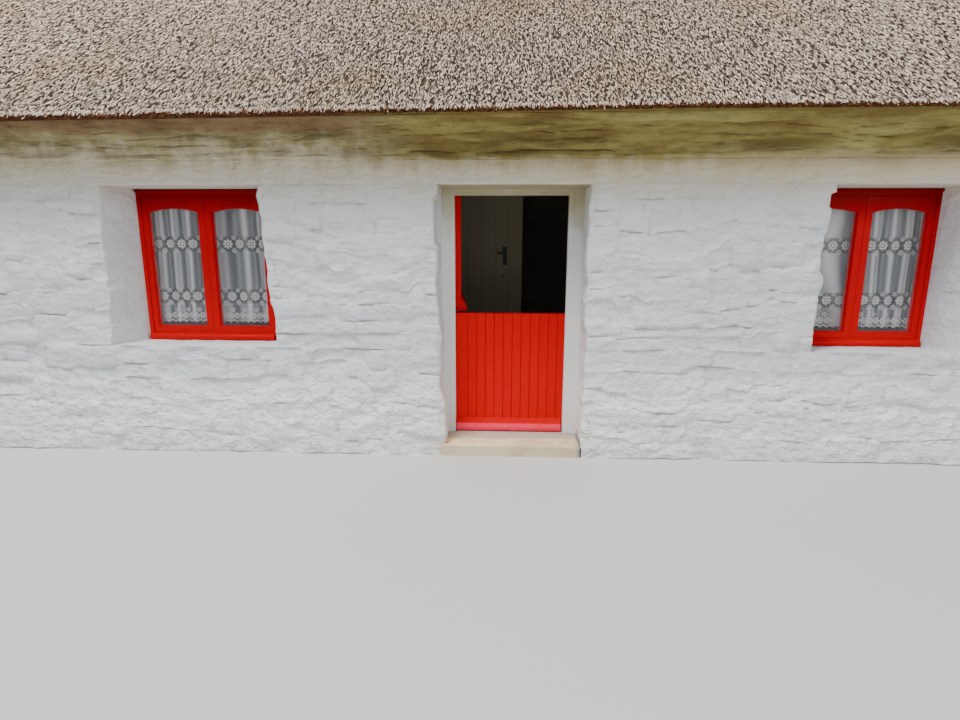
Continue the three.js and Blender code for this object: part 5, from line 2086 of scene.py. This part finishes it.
@dataclass
class HalfDoor:
    """The front doorway: white frame, red lower leaf, and the upper leaf standing open inside."""

    finishes: Finishes
    clear: float = 0.41
    clear_height: float = 1.766
    leaf_half: float = 0.425
    pivot: tuple[float, float] = (-0.4275, 0.1115)
    lower: tuple[float, float] = (0.008, 0.914)
    upper: tuple[float, float] = (0.922, 1.781)
    rail: float = 0.095
    open_degrees: float = 95.0

    def build(self) -> None:
        """Builds the frame, the leaves and their weather bars."""
        self._frame()
        boarding = Boarding((0.105,) + (0.745 / 11,) * 11, -self.leaf_half, 0.056, 0.076, self.rail, 0.024)
        for name, (foot, top), body, worn in (
                ("lower", self.lower, Body.LOWER_DOOR, self.finishes.faded_red_with_sheen),
                ("upper", self.upper, Body.COTTAGE, self.finishes.red)):
            boards = Skin()
            boarding.add(boards, foot, top, (foot, top - self.rail))
            for skin, kind, material, node in ((boards, "boards", self.finishes.red, "leaf"),
                                               (self._bar(foot), "drip_board", worn, "weather_bar")):
                if name == "upper":
                    skin.move(self._opened)
                skin.shift(DOOR_X, FRAME_Y, FLOOR_Z)
                skin.build(f"{name}_{kind}", material, Slot.RED, (f"{name}_{node}",), body)

    def _opened(self, points: np.ndarray) -> np.ndarray:
        """Turns points about the pins by the open angle.

        Args:
            points: Points of shape (n, 3).

        Returns:
            The turned points.
        """
        turn = math.radians(self.open_degrees)
        c, s = math.cos(turn), math.sin(turn)
        x, y = points[:, 0] - self.pivot[0], points[:, 1] - self.pivot[1]
        return xyz(self.pivot[0] + c * x - s * y, self.pivot[1] + s * x + c * y, points[:, 2])

    def _bar(self, foot: float) -> Skin:
        """The sloped board along the foot of a leaf: a section carried along it.

        Layered noise lifts its lower edge and wears its face, and a row of nails dents it.

        Args:
            foot: Foot of the leaf.

        Returns:
            The board.
        """
        noise, skin = Lattice(17), Skin()
        x = np.linspace(-0.405, 0.400, 90)
        y, z = upright((
            (0.0557, 0.0), (0.0125, 0.0), (0.0110, 0.003), (0.0107, 0.022), (0.0110, 0.026), (0.0135, 0.031),
            (0.0249, 0.052), (0.0270, 0.056), (0.0430, 0.086), (0.0437, 0.0895), (0.0480, 0.0918),
            (0.0557, 0.092), (0.0557, 0.0)))
        wave = 0.0022 * noise.layered(x * 14, 0, 2) * (z < 0.03) * (y < 0.02)
        wear = 0.0012 * noise.layered(x * 20 + 7, z * 60, 2) * (y < 0.05)
        nails = sum(near(x - at, 0.004) for at in np.linspace(-0.36, 0.36, 7))
        nails = nails * near(z - 0.056, 0.012) * 0.002
        # The groove mark paints shade in the nail dents.
        index = skin.grid(xyz(x, y - np.minimum(wear, 0.0) + nails, foot + z + np.maximum(wave, 0)),
                          groove=unit(nails * 400), sheltered=unit((z - 0.052) / 0.004))
        skin.fan(index[:-1, 0], False)
        skin.fan(index[:-1, -1], True)
        return skin

    def _frame(self) -> None:
        """The frame: a profile carried up the left jamb, along the head and down the right jamb.

        Each profile point has its distance out from the clear opening on a jamb and on the head, its y and
        how much painted shade the bead line takes there.
        """
        jamb, head, y, dark = np.array((
            (0.0, 0.0, 0.051, 0), (0.0, 0.0, 0.0015, 0), (0.0015, 0.0015, 0.0, 0), (0.036, 0.016, 0.0, 0),
            (0.0385, 0.0175, 0.0020, 1), (0.0415, 0.0190, 0.0020, 1), (0.044, 0.0205, 0.0, 0),
            (0.1085, 0.0425, 0.0, 0), (0.11, 0.0437, 0.0015, 0), (0.11, 0.0437, 0.10, 0),
            (0.02, 0.02, 0.10, 0), (0.02, 0.02, 0.051, 0), (0.0, 0.0, 0.051, 0))).T
        left, right = -self.clear - jamb, self.clear + (jamb + np.where(jamb == 0.02, 0.002, 0.0))
        levels, top = (GAP, 0.4, 0.8, 1.2, 1.6), np.minimum(self.clear_height + head, 1.8097)
        rings = [xyz(left, y, z) for z in levels] + [xyz(left, y, top), xyz(right, y, top)]
        rings += [xyz(right, y, z) for z in levels[::-1]]
        skin = Skin()
        skin.grid(np.stack(rings), flip=True, groove=dark)
        skin.shift(DOOR_X, FRAME_Y, FLOOR_Z)
        skin.build("door_frame_moulded", self.finishes.frame, Slot.WHITE, ("door_frame",), smooth=30.0)


@dataclass
class InnerDoor:
    """The boarded inner door, which stands open behind the entrance."""

    finishes: Finishes
    hinge: tuple[float, float] = (-0.755, -1.135)
    heel: float = 0.013
    width: float = 0.76

    def build(self) -> None:
        """Builds the leaf with its ledges and strap hinges; its frame and handle stay as packed."""
        skin, board = Skin(), (self.width - self.heel) / 6
        Boarding((board,) * 6, self.heel, 0.005, 0.027, 0.11, 0.018, 0.003, seed=8, stiles=False).add(
            skin, 0.008, 1.908, (0.10, 0.90, 1.72))
        for z in (0.25, 1.65):
            skin.box((0.010, -0.0012, z + 0.01), (0.32, 0.0052, z + 0.05), groove=0.0)
            self._eye(skin, z, z + 0.06)
        self._keyhole_cover(skin)
        skin.shift(*self.hinge, FLOOR_Z)
        skin.build("inner_door_boards", self.finishes.cream, Slot.CREAM, ("inner_door_leaf",),
                   Body.INNER_DOOR)

    def _keyhole_cover(self, skin: Skin) -> None:
        """A small domed disc below the handle: rings of falling radius.

        Args:
            skin: Where it goes.
        """
        low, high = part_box("inner_door_handle")
        x, z = 0.5 * (low[0] + high[0]) - self.hinge[0] + 0.01, low[2] - FLOOR_Z - 0.10
        turn = np.linspace(0, 2 * np.pi, 20, endpoint=False)
        radius, y = upright(((0.017, 0.0052), (0.017, 0.002), (0.013, 0.0), (0.0, -0.001)))
        skin.grid(xyz(x + radius * np.cos(turn), y, z + radius * np.sin(turn)), wrap=True, groove=1.0)

    def _eye(self, skin: Skin, z0: float, z1: float) -> None:
        """The eye of a strap: a tube round the pin, with the pin's clearance inside.

        Args:
            skin: Where it goes.
            z0: Its foot.
            z1: Its top.
        """
        turn, bore, wall = np.linspace(0, 2 * np.pi, 24, endpoint=False), 0.0055, 0.010
        radius, z = upright(((bore, z0), (wall, z0), (wall, z1), (bore, z1), (bore, z0)))
        skin.grid(xyz(radius * np.cos(turn), radius * np.sin(turn), z), wrap=True, groove=0.0)


@dataclass
class Doorstep:
    """The worn concrete step, with chipped corners and a crack near its right end."""

    finishes: Finishes
    low: tuple[float, float] = (-0.6147, -2.617)
    high: tuple[float, float] = (0.4087, -2.21)
    top: float = FLOOR_Z

    def build(self) -> None:
        """Rings from the middle of the top out over the edge and down to the ground."""
        noise, top = Lattice(29), self.top
        (x0, y0), (x1, y1) = self.low, self.high
        cx, cy = 0.5 * (x0 + x1), 0.5 * (y0 + y1)
        ring, facing = rounded_ring(0.5 * (x1 - x0), 0.5 * (y1 - y0), 0.006, 60)
        rows = [(share, top, 0.0) for share in np.linspace(0, 0.955, 22)[1:]]
        rows += [(1.0, top, 0.010), (1.0, top - 0.0012, 0.004), (1.0, top - 0.005, 0.0008),
                 (1.0, top - 0.012, 0.0)]
        rows += [(1.0, z, 0.0) for z in np.linspace(top - 0.022, 0.0, 7)]
        share, z, inset = upright(rows)
        x = cx + (ring[:, 0] - facing[:, 0] * inset) * share
        y = cy + (ring[:, 1] - facing[:, 1] * inset) * share
        rim = (share > 0.98) & (y < -2.5)
        chip = unit(noise.layered(x * 9, y * 9, 2) - 0.25) * rim
        corner = near(np.hypot(x - x1, y - y0), 0.05) * 0.012 * (y < -2.5)
        drop = chip * 0.010 * (z > 0.04) + corner * (z > 0.05)
        drop = drop + 0.0006 * (1 + noise.at(x * 6, y * 6)) * (z > 0.07)
        mend = np.interp(y + 0.5 * (z - top), (-2.66, -2.60, -2.55, -2.43, -2.40, -2.31),
                         (0.375, 0.37, 0.378, 0.37, 0.33, 0.285))
        crack = near(x - 0.404, 0.006) * (y < -2.33)
        crack = crack + near(y + 2.335 + 0.006 * noise.at(x * 40, 0), 0.004) * (x > 0.29)
        # Painted shade, with some grey, on the top by the door; painted shade on the upright faces; a grey
        # mended patch at the right end.
        behind = unit((y + 2.47) / 0.04 + 0.6 * noise.layered(x * 5, y * 5, 2)) * 0.75
        grey = np.maximum(unit((x - mend) / 0.012) * 0.9, behind) + np.clip((top - z) / 0.02, 0, 0.35)
        y = np.where(rim, y + chip * 0.006 + corner * 0.6, y)
        centre, none = np.broadcast_to([cx, cy, top - 0.0006], (1, len(ring), 3)), np.zeros((1, len(ring)))
        skin = Skin()
        skin.grid(np.concatenate([centre, xyz(x, y, z - drop - 0.003 * crack * (z > 0.07))])[::-1], wrap=True,
                  crack=np.concatenate([none, crack])[::-1], grey=np.concatenate([none, unit(grey)])[::-1])
        skin.build("doorstep_worn", self.finishes.step, Slot.CONCRETE, ("doorstep",))


def stage_and_light() -> None:
    """Pale floor and soft studio light."""
    far = 40
    mesh = bpy.data.meshes.new("floor")
    mesh.from_pydata([(-far, -far, 0), (far, -far, 0), (-far, far, 0), (far, far, 0)], [], [(0, 1, 3, 2)])
    mesh.materials.append(Tree("pale_floor").finish((0.62, 0.61, 0.59), 0.9))
    plane = bpy.data.objects.new("floor", mesh)
    bpy.context.scene.collection.objects.link(plane)
    world = bpy.data.worlds.new("studio")
    world.use_nodes = True
    sky = world.node_tree.nodes["Background"].inputs
    sky["Color"].default_value = (0.88, 0.93, 1.0, 1.0)
    sky["Strength"].default_value = 0.60
    bpy.context.scene.world = world
    for name, place, aim, size, power in (
        ("key", (-3.4, -6.8, 11.6), (0, -2.6, 1.4), 3.6, 1850.0),
        ("fill", (8.0, -8.0, 5.0), (0, -2.0, 1.5), 7.0, 260.0),
        ("back", (3.0, 10.0, 10.0), (0, 0, 2.5), 8.0, 700.0),
    ):
        light = bpy.data.lights.new(name, "AREA")
        light.size = size
        light.energy = power
        lamp = bpy.data.objects.new(name, light)
        lamp.location = place
        lamp.rotation_euler = (Vector(aim) - Vector(place)).to_track_quat("-Z", "Y").to_euler()
        bpy.context.scene.collection.objects.link(lamp)


def camera() -> None:
    """The photograph's camera: at eye level before the door, looking slightly left and 11 degrees down."""
    data = bpy.data.cameras.new("camera")
    data.lens = 21.375
    data.sensor_width = 36.0
    data.clip_end = 200.0
    eye = bpy.data.objects.new("camera", data)
    yaw, pitch, roll = (math.radians(angle) for angle in (2.42, -11.31, 0.16))
    forward = Vector((-math.sin(yaw) * math.cos(pitch), math.cos(yaw) * math.cos(pitch), math.sin(pitch)))
    turn = forward.to_track_quat("-Z", "Y").to_matrix()
    eye.location = (-0.1555, -6.5268, 1.4937)
    eye.rotation_euler = (turn @ Euler((0, 0, roll)).to_matrix()).to_euler()
    bpy.context.scene.collection.objects.link(eye)
    bpy.context.scene.camera = eye


def dress_nodes(frame: dict, finishes: Finishes) -> None:
    """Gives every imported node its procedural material.

    Args:
        finishes: The materials.
    """
    by_slot = {
        Slot.STONE: finishes.outside, Slot.THATCH: finishes.bed, Slot.RED: finishes.window_red,
        Slot.WHITE: finishes.frame, Slot.CREAM: finishes.cream, Slot.TIMBER: finishes.timber,
        Slot.CONCRETE: finishes.floor, Slot.IRON: finishes.iron, Slot.GLASS: finishes.glass,
        Slot.LACE: finishes.lace,
    }
    slots = {part["node"]: part["material_slot"] for part in frame["record"]["subparts"]}
    for name, node in frame["nodes"].items():
        node.data.materials.clear()
        node.data.materials.append(by_slot[Slot(slots[name])])


def main() -> None:
    """Builds every sub-assembly in order."""
    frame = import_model()
    logging.basicConfig(level=logging.INFO, format="%(name)s %(message)s")
    finishes = Finishes()
    dress_nodes(frame, finishes)
    camera()
    stage_and_light()
    parts = [
        FrontWalls(finishes), OtherWalls(finishes), Chimneys(finishes), Thatch(finishes), HalfDoor(finishes),
        InnerDoor(finishes), Window(finishes, "left", -WINDOW_X), Window(finishes, "right", WINDOW_X, 0.098),
        BackWindow(finishes, "left", WINDOW_X), BackWindow(finishes, "right", -WINDOW_X), Doorstep(finishes),
    ]
    for part in parts:
        part.build()


if __name__ == "__main__":
    main()
